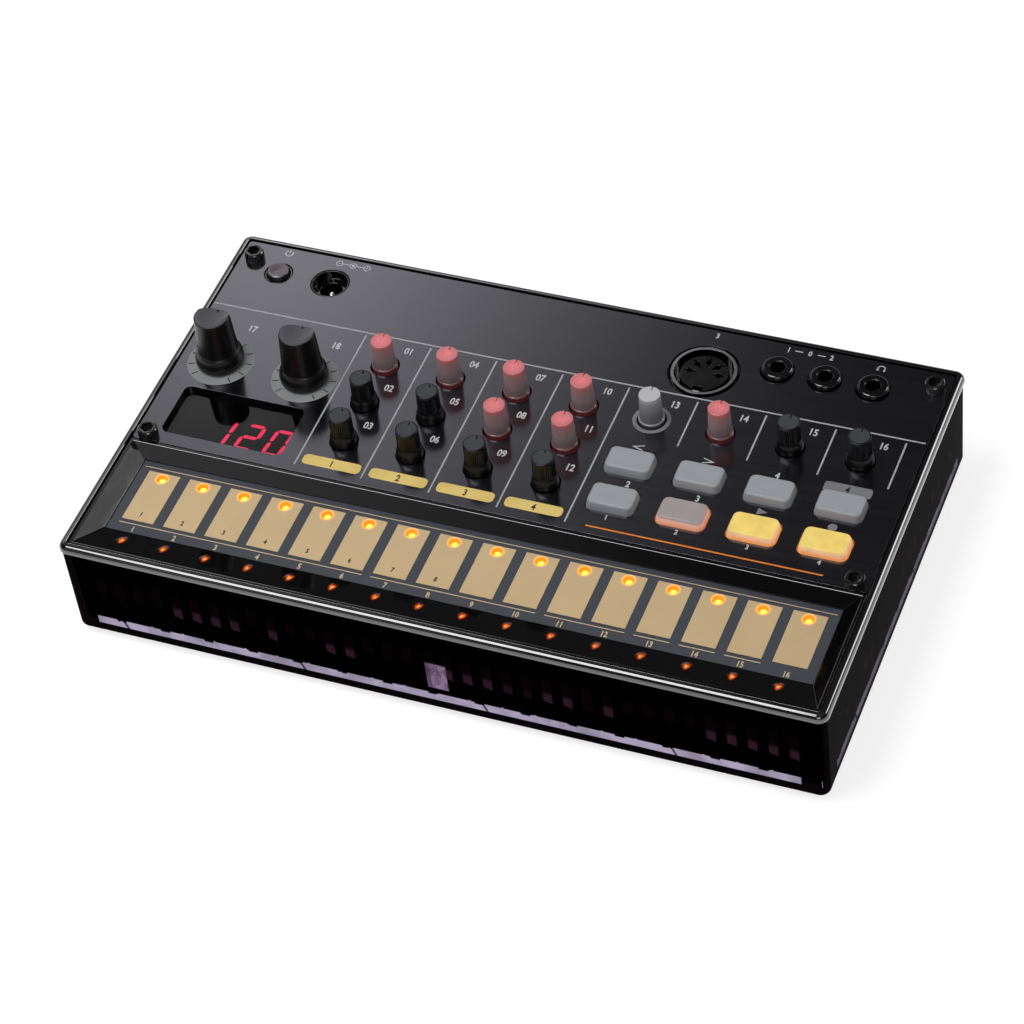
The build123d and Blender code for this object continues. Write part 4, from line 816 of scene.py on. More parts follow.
@dataclass(frozen=True)
class BrushedPanel(Finish):
    """Dark anodised sheet brushed along X: long hairlines, and a sheen stretched across them."""

    def lay(self, recipe: Recipe) -> None:
        """Two noises drawn out along X give the hairlines in colour, gloss and relief."""
        fine = recipe.noise(0.16, 2.0, recipe.stretch(0.012, 1.0, 1.0))
        broad = recipe.noise(1.3, 3.0, recipe.stretch(0.02, 1.0, 1.0))
        cloud = recipe.noise(40.0, 3.0)
        lines = recipe.plus(recipe.times(fine, 0.65), recipe.times(broad, 0.35))
        tint = recipe.around(lines, self.tone, 0.8, 1.2)
        tangent = recipe.add("ShaderNodeTangent", direction_type="UV_MAP", uv_map="grain").outputs[0]
        recipe.set(
            Base_Color=recipe.between(recipe.times(cloud, 0.3), tint, shade(self.tone, 0.9)),
            Metallic=1.0,
            Roughness=recipe.span(lines, 0.3, 0.7, self.roughness * 0.88, self.roughness * 1.14),
            Anisotropic=0.6,
            Tangent=tangent,
        )
        recipe.relief(lines, 0.003, 0.35)


@dataclass(frozen=True)
class SmokedPlastic(Finish):
    """Smoked see-through plastic: near black, with painted light that stands in for the light leaking out
    of the case's walls.

    The leaks are a pattern of their own.  The pitch of the dim patches is chosen for its look, and
    it isn't the pitch of the real ribs behind the walls.
    """

    leaks: bool = True
    skin: tuple[float, float] = (95.6, 56.6)  # where the outer walls' skin starts at the foot, X and Y
    lean: float = 0.5 / 29.2  # how far the skin moves out for each millimetre of height
    pitch: float = 5.0  # of the dim patches
    start: float = 2.9  # how far the first dim patch stands before the middle

    def lay(self, recipe: Recipe) -> None:
        """Lays clear dark plastic, and the painted leaks of light where the piece has them."""
        smudge = recipe.noise(18.0, 5.0, rough=0.6)
        recipe.set(
            Base_Color=recipe.around(smudge, self.tone, 0.7, 1.3),
            Roughness=recipe.span(smudge, 0.35, 0.75, self.roughness, self.roughness + 0.04),
            Transmission_Weight=0.85,
            IOR=1.015,
            Specular_IOR_Level=0.03,
        )
        recipe.relief(recipe.noise(0.5, 2.0), 0.002, 0.3)
        if self.leaks:
            self.light(recipe)

    def light(self, recipe: Recipe) -> None:
        """Paints three leaks of light on the outer walls as emission: a floor band, dim patches and one
        bright patch.

        The run is the way along a wall: X on the long walls, and Y on the short ones, which show
        less of the light.  All leaks stop short of the case's corners.
        """
        x, y, z = recipe.xyz()
        rise = recipe.times(recipe.minus(z, FOOT_Z * MM), self.lean)
        deep = [
            recipe.minus(recipe.size(way), recipe.plus(rise, start * MM))
            for way, start in zip((x, y), self.skin)
        ]
        short_wall, long_wall = (recipe.reaches(value, 0.0, 0.1) for value in deep)
        run = recipe.plus(recipe.times(x, long_wall), recipe.times(y, recipe.minus(1.0, long_wall)))
        reach = recipe.plus(50.0 * MM, recipe.times(long_wall, 39.8 * MM))
        inside = recipe.reaches(recipe.minus(reach, recipe.size(run)), 0.0, 0.3)
        wall = recipe.times(recipe.most(long_wall, recipe.times(short_wall, 0.3)), inside)
        band = self.floor_band(recipe, run, z)
        dim = self.dim_patches(recipe, run, z)
        off = recipe.minus(run, 0.4 * MM)
        bright = self.bright_patch(recipe, off, z, long_wall)
        # the painted bright patch is mottled, and darker in a stripe at its left side
        fine = recipe.noise(2.4, 3.0, recipe.stretch(1.0, 1.0, 0.5), 0.7)
        stripe = recipe.span(off, -1.7 * MM, -1.4 * MM, 0.35, 1.0)
        mottle = recipe.times(recipe.span(fine, 0.3, 0.7), stripe)
        tint = recipe.between(
            bright,
            recipe.between(band, hex_colour("#331d29"), hex_colour("#a59ab2")),
            recipe.between(mottle, hex_colour("#3a2a3e"), hex_colour("#8f7694")),
        )
        level = recipe.most(recipe.plus(band, dim), bright)
        recipe.set(Emission_Color=tint, Emission_Strength=recipe.times(level, wall))

    def floor_band(self, recipe: Recipe, run: Any, z: Any) -> Any:
        """Strength of the painted band of light at the floor: notches in its upper edge, and slanted dark
        ticks.
        """
        wide = recipe.span(recipe.folded(run, 11.7), 0.78, 0.8)
        narrow = recipe.span(recipe.folded(run, 8.3), 0.93, 0.95)
        notch = recipe.plus(wide, recipe.times(narrow, -0.5))
        top = recipe.plus(z, recipe.times(notch, 0.55 * MM))
        band = recipe.times(recipe.reaches(z, 5.2, 5.4), recipe.fades(top, 7.7, 7.9))
        slanted = recipe.plus(recipe.plus(run, 9.0 * MM), recipe.times(z, 0.4))
        joint = recipe.size(recipe.minus(recipe.folded(slanted, 47.0), 0.5))
        tick = recipe.span(joint, 0.003, 0.012, 0.35, 1.0)
        cloudy = recipe.span(recipe.noise(6.0, 4.0), 0.3, 0.7, 0.82, 1.08)
        return recipe.times(recipe.times(band, tick), cloudy)

    def dim_patches(self, recipe: Recipe, run: Any, z: Any) -> Any:
        """Strength of a row of dim patches of painted light with a faint streak over each, some left out by
        chance.

        The chance of patch n is the fraction of 43.758 sin(12.9898 n).
        """
        moved = recipe.plus(run, self.start * MM)
        fold = recipe.folded(moved, self.pitch)
        slot = recipe.times(recipe.span(fold, 0.0, 0.08), recipe.span(fold, 0.44, 0.54, 1.0, 0.0))
        count = recipe.calc("FLOOR", recipe.ratio(moved, self.pitch * MM))
        wave = recipe.calc("SINE", recipe.times(count, 12.9898))
        chance = recipe.calc("FRACT", recipe.times(wave, 43.758))
        foot = recipe.plus(14.1 * MM, recipe.times(fold, -1.2 * MM))
        head = recipe.plus(16.6 * MM, recipe.times(chance, 1.2 * MM))
        low_edge = recipe.reaches(recipe.minus(z, foot), 0.0, 0.4)
        high_edge = recipe.fades(recipe.minus(z, head), -1.4, 0.5)
        patch = recipe.times(recipe.times(slot, low_edge), high_edge)
        patch = recipe.times(patch, recipe.span(chance, 0.3, 0.55))
        tall = recipe.times(recipe.reaches(z, 16.0, 18.0), recipe.fades(z, 19.0, 24.0))
        streak = recipe.times(slot, tall)
        return recipe.plus(recipe.times(patch, 0.66), recipe.times(streak, 0.05))

    def bright_patch(self, recipe: Recipe, off: Any, z: Any, long_wall: Any) -> Any:
        """Strength of the painted bright patch of light, by the way off its middle; only the long walls
        have one.
        """
        across = recipe.times(recipe.fades(recipe.size(off), 2.5, 2.8), long_wall)
        upright = recipe.times(recipe.reaches(z, 9.4, 9.8), recipe.fades(z, 18.0, 18.9))
        return recipe.times(across, upright)


@dataclass(frozen=True)
class Glazing(Finish):
    """Dark see-through window sheet with a hard gloss."""

    def lay(self, recipe: Recipe) -> None:
        """Tinted clear sheet; a wide noise makes its gloss a little uneven."""
        smudge = recipe.noise(6.0, 4.0)
        recipe.set(
            Base_Color=recipe.around(smudge, self.tone, 0.92, 1.08),
            Roughness=recipe.span(smudge, 0.3, 0.7, self.roughness, self.roughness + 0.02),
            Transmission_Weight=1.0,
            IOR=1.36,
        )


class Lighting(Enum):
    """Whether a knob of clear plastic has its lamp on."""

    LIT = "lit"
    DARK = "dark"


@dataclass(frozen=True)
class ClearKnob(Finish):
    """Frosted clear knob with a milky ribbed body; the deep red of its foot and the lamp's light in its top
    are painted light.
    """

    lighting: Lighting = Lighting.LIT

    @property
    def painted_light_ramp(self) -> tuple[str, ...]:
        """The body's colours from the flange to the top, with painted light and shade: a dark foot, a light
        band on the flange's top edge and a lighter top, tinted the lamp's red when it is lit.
        """
        if self.lighting is Lighting.LIT:
            return ("#3c0a12", "#3c0810", "#8c6462", "#86787a", "#b0a2a4", "#b49c9c", "#ba8482", "#be7c80")
        return ("#26262a", "#3a3a3e", "#b0b0b4", "#7a7a80", "#a0a1a6", "#c2c2c8", "#e8e8ec", "#d8d8dc")

    def lay(self, recipe: Recipe) -> None:
        """Colour and gloss are looked up by height, from the flange to the top."""
        radius, height = recipe.axis_parts()
        share = recipe.share(height, FLANGE_Z, GRIP_Z)
        places = (0.0, 0.14, 0.175, 0.21, 0.5, 0.82, 0.93, 0.985)
        tint = recipe.ramp(share, tuple(zip(places, self.painted_light_ramp)))
        cloud = recipe.noise(1.1, 4.0)
        recipe.set(
            Base_Color=recipe.between(recipe.times(cloud, 0.2), tint, shade(self.tone, 0.8)),
            Roughness=recipe.span(share, 0.16, 0.26, 0.07, self.roughness),
            Transmission_Weight=0.22,
            IOR=1.46,
        )
        if self.lighting is Lighting.LIT:
            self.light(recipe, radius, share)
        recipe.relief(recipe.noise(0.3, 2.0), 0.006, 0.4)

    def light(self, recipe: Recipe, radius: Any, share: Any) -> None:
        """Adds the lamp's light as painted glow: in the middle of the top, milky along the body, faint at
        the foot.
        """
        middle = recipe.span(radius, 0.4 * MM, 2.5 * MM, 1.0, 0.45)
        glow = recipe.times(recipe.times(recipe.span(share, 0.84, 0.99), middle), 0.36)
        body_glow = recipe.times(recipe.span(share, 0.3, 0.8), 0.035)
        foot = recipe.span(share, 0.0, 0.2, 0.04, 0.0)
        level = recipe.plus(recipe.plus(glow, body_glow), foot)
        speck = recipe.span(recipe.noise(0.8, 3.0), 0.35, 0.7, 0.7, 1.2)
        recipe.set(Emission_Color=hex_colour("#ff6a70"), Emission_Strength=recipe.times(level, speck))


class Glow(Enum):
    """How the lamp under a key shows."""

    NONE = "none"
    SIDES = "sides"
    FULL = "full"


@dataclass(frozen=True)
class SoftKey(Finish):
    """Soft translucent key: a satin skin, paler at its edges, with painted light from a lamp below."""

    glow: Glow = Glow.NONE

    def lay(self, recipe: Recipe) -> None:
        """The painted light is a warm glow that falls off with height, or fills the top as well, where the
        base colour is painted too.
        """
        _, _, z = recipe.xyz()
        share = recipe.share(z, PANEL_Z, KEY_TOP_Z)
        cloud = recipe.noise(3.0, 4.0)
        skin = recipe.around(cloud, self.tone, 0.93, 1.07)
        fine = recipe.noise(0.18, 2.0)
        recipe.set(
            Roughness=recipe.span(fine, 0.3, 0.7, self.roughness - 0.05, self.roughness + 0.08),
            Specular_IOR_Level=0.4,
            Subsurface_Weight=0.12,
            Subsurface_Radius=(0.6, 0.7, 0.8),
            Subsurface_Scale=0.0012,
            Sheen_Weight=0.15,
        )
        if self.glow is Glow.FULL:
            side = recipe.span(share, 0.72, 0.98)
            warm = recipe.ramp(share, ((0.0, "#ff9a3c"), (0.62, "#ffc49a"), (0.9, "#f0d068")))
            blotch = recipe.span(cloud, 0.3, 0.7, 0.9, 1.08)
            recipe.set(
                # painted light: a yellow top over sides at half the key's tone, for a fully lit key
                Base_Color=recipe.between(side, shade(self.tone, 0.5), hex_colour("#8a7c48")),
                Emission_Color=warm,
                Emission_Strength=recipe.times(blotch, 0.72),
            )
        elif self.glow is Glow.SIDES:
            warm = recipe.ramp(share, ((0.0, "#ff8a3a"), (0.55, "#ffb294"), (0.93, "#e09a80")))
            recipe.set(
                Base_Color=skin,
                Emission_Color=warm,
                Emission_Strength=recipe.span(share, 0.55, 1.0, 0.5, 0.03),
            )
        else:
            recipe.set(Base_Color=skin)
        recipe.relief(fine, 0.005, 0.5)


@dataclass(frozen=True)
class PadPlating(Finish):
    """Satin gold-tan pads with a fine even grain, and painted light round the lamps in their holes."""

    def lay(self, recipe: Recipe) -> None:
        """The painted glow of the lamp falls off with distance from the nearest lamp axis."""
        distance = recipe.lamp_distance()
        cloud = recipe.noise(10.0, 4.0)
        fine = recipe.noise(0.22, 2.0)
        recipe.set(
            Base_Color=recipe.around(cloud, self.tone, 0.93, 1.07),
            Metallic=0.25,
            Roughness=recipe.span(fine, 0.3, 0.7, self.roughness - 0.06, self.roughness + 0.06),
            Specular_IOR_Level=0.35,
        )
        # painted light: a halo and a bright ring round each lamp hole
        halo = recipe.times(recipe.fades(distance, 1.4, 2.3), 0.3)
        rim = recipe.times(recipe.fades(distance, 1.46, 1.75), 0.9)
        recipe.set(Emission_Color=hex_colour("#ff8a1e"), Emission_Strength=recipe.plus(halo, rim))
        recipe.relief(fine, 0.004, 0.5)


@dataclass(frozen=True)
class Laminate(Finish):
    """Printed board: a woven glass base under a satin varnish, with a painted glow round the step lamps."""

    weave: float = 0.45
    # whether a glow round the step lamps is painted on the board
    warm: bool = True

    def lay(self, recipe: Recipe) -> None:
        """The weave is the product of two sines, one along each diagonal of X and Y."""
        x, y, _ = recipe.xyz()
        turn = 2 * math.pi / (self.weave * MM) * 0.7
        across = recipe.calc("SINE", recipe.times(recipe.plus(x, y), turn))
        along = recipe.calc("SINE", recipe.times(recipe.minus(x, y), turn))
        cloth = recipe.span(recipe.times(across, along), -1.0, 1.0)
        mottle = recipe.noise(0.6, 4.0, rough=0.7)
        recipe.set(
            Base_Color=recipe.around(recipe.times(cloth, mottle), self.tone, 0.6, 1.6),
            Roughness=recipe.span(mottle, 0.3, 0.7, self.roughness, self.roughness + 0.15),
        )
        recipe.relief(cloth, 0.01, 0.5)
        if self.warm:
            # painted light: an orange ring round each step lamp
            rim = recipe.times(recipe.fades(recipe.lamp_distance(), 1.42, 1.62), 1.6)
            recipe.set(Emission_Color=hex_colour("#ff7a10"), Emission_Strength=rim)


@dataclass(frozen=True)
class LampLens(Finish):
    """Amber lamp: a white-hot core that turns orange towards the edge of the lens."""

    def lay(self, recipe: Recipe) -> None:
        """Colour and strength are looked up by the distance from the lamp's axis."""
        share = recipe.ratio(recipe.lamp_distance(), 1.3 * MM)
        stops = ((0.0, "#fff0a8"), (0.38, "#ffd23c"), (0.72, "#ff9a10"), (1.0, "#f06400"))
        recipe.set(
            Base_Color=self.tone,
            Roughness=self.roughness,
            Emission_Color=recipe.ramp(share, stops),
            Emission_Strength=recipe.span(share, 0.1, 1.0, 1.7, 1.0),
        )
        recipe.relief(recipe.noise(0.4, 2.0), 0.01, 0.4)


@dataclass(frozen=True)
class PaintedLampReflection(Finish):
    """Painted reflection of a step lamp in the gloss of the front slope: a bright eye in a dark red haze.
    """

    row_y: float = -49.6
    half: tuple[float, float] = (1.35, 2.0)  # half width and half length of the haze
    bow: float = 0.35  # how far the haze bends to the back at its sides

    def lay(self, recipe: Recipe) -> None:
        """Colour and strength follow a bowed oval distance, with X folded to one pitch."""
        x, y, _ = recipe.xyz()
        side = recipe.times(recipe.minus(recipe.folded(x, STEP_PITCH), 0.5), STEP_PITCH)
        across = recipe.ratio(side, self.half[0])
        along = recipe.ratio(recipe.minus(y, self.row_y * MM), self.half[1] * MM)
        share = recipe.length(across, recipe.minus(along, recipe.times(recipe.size(across), self.bow)))
        stops = ((0.0, "#ffdfb0"), (0.2, "#ff9a48"), (0.48, "#d8500e"), (0.75, "#4a1604"), (1.0, "#0a0302"))
        speck = recipe.span(recipe.noise(0.5, 2.0), 0.35, 0.65, 0.5, 1.25)
        recipe.set(
            Base_Color=self.tone,
            Roughness=self.roughness,
            Emission_Color=recipe.ramp(share, stops),
            Emission_Strength=recipe.times(speck, recipe.span(share, 0.2, 1.1, 1.0, 0.35)),
        )
        recipe.relief(recipe.noise(0.4, 2.0), 0.004, 0.3)


@dataclass(frozen=True)
class SegmentLight(Finish):
    """A display segment, lit or only just seen."""

    level: float = 1.0

    def lay(self, recipe: Recipe) -> None:
        """A fine noise keeps the light of a segment from being dead even."""
        speck = recipe.span(recipe.noise(0.5, 2.0), 0.3, 0.7, 0.88, 1.1)
        recipe.set(
            Base_Color=shade(self.tone, 0.05),
            Roughness=self.roughness,
            Emission_Color=self.tone,
            Emission_Strength=recipe.times(speck, self.level),
        )


@dataclass(frozen=True)
class Ink(Finish):
    """Screen-printed ink: a thin matt film with pin-holes and an uneven edge."""

    def lay(self, recipe: Recipe) -> None:
        """A fine noise thins the colour in places and lifts the film a little."""
        fine = recipe.noise(0.12, 3.0)
        patch = recipe.noise(5.0, 3.0)
        tint = recipe.around(patch, self.tone, 0.9, 1.06)
        recipe.set(
            Base_Color=recipe.between(recipe.span(fine, 0.2, 0.4, 0.25, 0.0), tint, shade(self.tone, 0.6)),
            Roughness=recipe.span(fine, 0.3, 0.7, self.roughness, self.roughness + 0.15),
            Specular_IOR_Level=0.3,
        )
        recipe.relief(fine, 0.004, 0.5)


SMOKED = SmokedPlastic("smoked_case", "#0c080b", 0.03)
RIM_GLOSS = Moulded("gloss_rim", "#070608", 0.06, grain=6.0, depth=0.002, level=0.4)
DOOR_PLASTIC = SmokedPlastic("smoked_door", "#171016", 0.12, leaks=False)
BEZEL_GLOSS = Moulded("gloss_bezel", "#060607", 0.05, grain=6.0, depth=0.004, coat=0.3)
BEZEL_EDGE = Moulded("polished_edge", "#0a0a0b", 0.08, grain=6.0, depth=0.001, coat=1.0, level=1.0)
PANEL_METAL = BrushedPanel("dark_panel", "#65646a", 0.16)
SCREW_BLACK = Moulded("black_oxide_screw", "#0c0c0d", 0.18, grain=0.3, depth=0.006, level=0.9)
FOOT_RUBBER = Moulded("foot_rubber", "#151515", 0.72, grain=0.5, depth=0.03, level=0.25, sheen=0.2)
BRASS = Metal("brass", "#b8924e", 0.25)
STEEL = Metal("steel", "#a9abae", 0.22)
CHROME = Metal("bright_metal", "#dcdcde", 0.1, depth=0.001)
COPPER_LEAF = Metal("contact_leaf", "#c99a5c", 0.28)
IRON = Metal("magnet_iron", "#4b4b4f", 0.45)
BUTTON_METAL = Metal("button_grey", "#8e878b", 0.34, lines=0.12)
STRIP_BOARD = Laminate("strip_board", "#40444c", 0.4)
MAIN_BOARD = Laminate("circuit_board", "#1c3b2a", 0.35, warm=False)
PAD_TAN = PadPlating("pad_gold", "#d3b98e", 0.42)
AMBER = LampLens("amber_lens", "#ff9a20", 0.25)
# painted reflections of the step lamps in the front slope's gloss
LAMP_REFLECTION = PaintedLampReflection("painted_lamp_reflection", "#080404", 0.1)
LENS_DARK = Glazing("smoked_lens", "#5a5560", 0.02)
MODULE_BLACK = Moulded("display_body", "#0d0b0f", 0.35, grain=0.2, depth=0.004)
COMPONENT = Moulded("component_black", "#111113", 0.45)
SOCKET_BLACK = Moulded("jack_black", "#070708", 0.12, grain=1.5, depth=0.004, coat=0.3)
PAPER = Moulded("cone_paper", "#2a2723", 0.85, grain=0.4, depth=0.05, level=0.2)
CABLE_GREY = Moulded("cable_grey", "#8d8f92", 0.5)
KNOB_BLACK = RidgedKnob("black_knob", "#050506", 0.3, 39.12)
# the large knobs' top greys are painted light on their black plastic
SATIN_TOP_PAINTED_LIGHT = ("#4b4a50", "#55545a")
KNOB_SATIN = RidgedKnob(
    "black_knob_satin", "#070709", 0.34, top_z=43.0, top_radius=4.3, ring=0.3, cut=0.004, face=SATIN_TOP_PAINTED_LIGHT
)
# the lit knobs' red tints and glow are painted light from the lamps under them
KNOB_LIT = ClearKnob("clear_knob_lit", "#8a7a78", 0.3)
KNOB_UNLIT = ClearKnob("clear_knob_dark", "#77787e", 0.3, lighting=Lighting.DARK)
# the lit keys' warmer tones and glows are painted light from the lamps under them
KEY_PLAIN = SoftKey("key_silicone", "#9a9ea3", 0.42)
KEY_SIDES = SoftKey("key_silicone_sides", "#9d9797", 0.42, glow=Glow.SIDES)
KEY_FULL = SoftKey("key_silicone_lit", "#9d9487", 0.42, glow=Glow.FULL)
INK_GREY = Ink("ink_grey", "#a9aaad", 0.5)
INK_PALE = Ink("ink_pale", "#c4c5c7", 0.5)
INK_TAN = Ink("ink_tan", "#c9b58f", 0.5)
INK_DARK = Ink("ink_dark", "#1b1a1a", 0.5)
INK_YELLOW = Ink("ink_yellow", "#e2c877", 0.45)
INK_ORANGE = Ink("ink_orange", "#e8842c", 0.45)
INK_SCALE = Ink("ink_scale", "#8a8b8c", 0.4)
INK_RING = Ink("ink_ring", "#7c7c7f", 0.4)
SEGMENT_ON = SegmentLight("segment_lit", "#ff3058", 0.5, level=9.0)
# an unlit segment's faint glow is painted light, and the haze round a lit bar is a painted halo
SEGMENT_OFF = SegmentLight("segment_dark", "#6a4a7c", 0.5, level=0.07)
SEGMENT_HAZE = SegmentLight("segment_haze", "#ff1c40", 0.6, level=0.55)

# --- Sub-assemblies


@dataclass
class CaseTray:
    """The smoked tray with its rubber feet and the door of its battery bay."""

    edge: float = 0.12  # width of the feet's eased edges
    rim: float = 2.1  # radius of the round that the tray's own upper edge is drawn in to
    lip: float = 1.4  # radius of the polished round over it
    corner: float = 2.6  # radius of the case's upright corners
    draft: float = 1.5  # how far the outer walls lean in from the rim to the foot
    spread: float = 1.0  # how far the foot of the outer walls is moved out
    moved: tuple[float, float] = (3.0, 5.5)  # depths in the wall where that move starts to fade and ends

    def round_rim(self, mesh: bpy.types.Mesh) -> None:
        """Draws the points near the tray's upper outer edge in to a larger round.

        Each such point lies some way in from the outer wall and some way below the top. Where its
        distance from the round's own axis is more than the rim radius, both are scaled back to it.

        Args:
            mesh: the tray, in metres.
        """
        low, high = (np.array(corner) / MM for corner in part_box("lower_case"))
        spot = points_of(mesh).astype(float) / MM
        top = high[2]
        shrink = self.draft * (top - spot[:, 2]) / (top - low[2])
        half = np.stack([high[0] - shrink, high[1] - shrink], axis=1)
        over = np.abs(spot[:, :2]) - (half - self.corner)
        out = np.maximum(over, 0.0)
        reach = np.linalg.norm(out, axis=1)
        deep = self.corner - reach - np.minimum(over.max(axis=1), 0.0)
        outward = out / np.maximum(reach, 1e-9)[:, None]
        way = np.where(reach[:, None] > 0, outward, over == over.max(axis=1)[:, None])
        way = way * np.sign(spot[:, :2])
        arm = np.stack([self.rim - deep, self.rim - (top - spot[:, 2])], axis=1)
        size = np.linalg.norm(arm, axis=1)
        near = (arm > 0).all(axis=1) & (size > self.rim)
        scale = np.where(near, self.rim / np.maximum(size, 1e-9), 1.0)
        spot[:, :2] -= way * (arm[:, 0] * (1 - scale))[:, None]
        spot[:, 2] -= arm[:, 1] * (1 - scale)
        move_points(mesh, spot)

    def steepen(self, mesh: bpy.types.Mesh) -> None:
        """Moves the foot of the outer walls outward, so that they lean by less.

        A point moves along X and Y by the spread times its share of the way down from the rim. The
        move is whole near the outer wall and fades out further in.

        Args:
            mesh: the tray, in metres.
        """
        low, high = (np.array(corner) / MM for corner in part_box("lower_case"))
        spot = points_of(mesh).astype(float) / MM
        share = ((high[2] - spot[:, 2]) / (high[2] - low[2]))[:, None]
        deep = high[:2] - self.draft * share - np.abs(spot[:, :2])
        whole, gone = self.moved
        weight = np.clip((gone - deep) / (gone - whole), 0.0, 1.0)
        spot[:, :2] += np.sign(spot[:, :2]) * weight * self.spread * share
        move_points(mesh, spot)

    def rim_ring(self) -> None:
        """Lays the polished round along the tray's upper edge.

        Its section is a quarter circle of the lip's radius: at angle t the way in from the wall is
        lip (1 - cos t) and the height is lip (1 - sin t) below the top. Each section point runs
        round the tray as a rounded rectangle drawn in by that way.
        """
        _, high = (np.array(corner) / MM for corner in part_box("lower_case"))
        top = float(high[2]) + 0.02
        turn = np.linspace(0, np.pi / 2, 9)
        bow = np.column_stack([self.lip * (1 - np.cos(turn)), top - self.lip * (1 - np.sin(turn))])
        section = np.concatenate([[[1.75, RIM_Z], [0.03, RIM_Z]], bow, [[1.7, top], [1.8, top - 0.1]]])
        rings = []
        for deep, height in section:
            radius = self.corner - min(deep, 2.0)
            outline = rounded_rectangle(2 * (high[0] - deep), 2 * (high[1] - deep), radius, 8)
            rings.append(raised(outline, height))
        form = Form()
        form.rings(np.stack(rings), joined=True)
        settle(form.mesh(), "rim_round", [BEZEL_EDGE], Seat(), Edge(smooth=30.0, weighted=False))

    def build(self) -> None:
        """Recasts the tray, the door and the feet with eased edges."""
        smooth = Edge(smooth=30.0)
        mesh = FOUND["lower_case"].data.copy()
        merge(mesh, FLAT)
        self.round_rim(mesh)
        self.steepen(mesh)
        tray = Seat("case", ("lower_case",), "smoked_case")
        settle(mesh, "tray", [SMOKED, RIM_GLOSS], tray, smooth, parting=RIM_Z)
        self.rim_ring()
        recast("battery_door", DOOR_PLASTIC, "bay_door", "smoked_case", smooth, "battery_door")
        recast("rubber_feet", FOOT_RUBBER, "feet", "foot_rubber", Edge(width=self.edge))


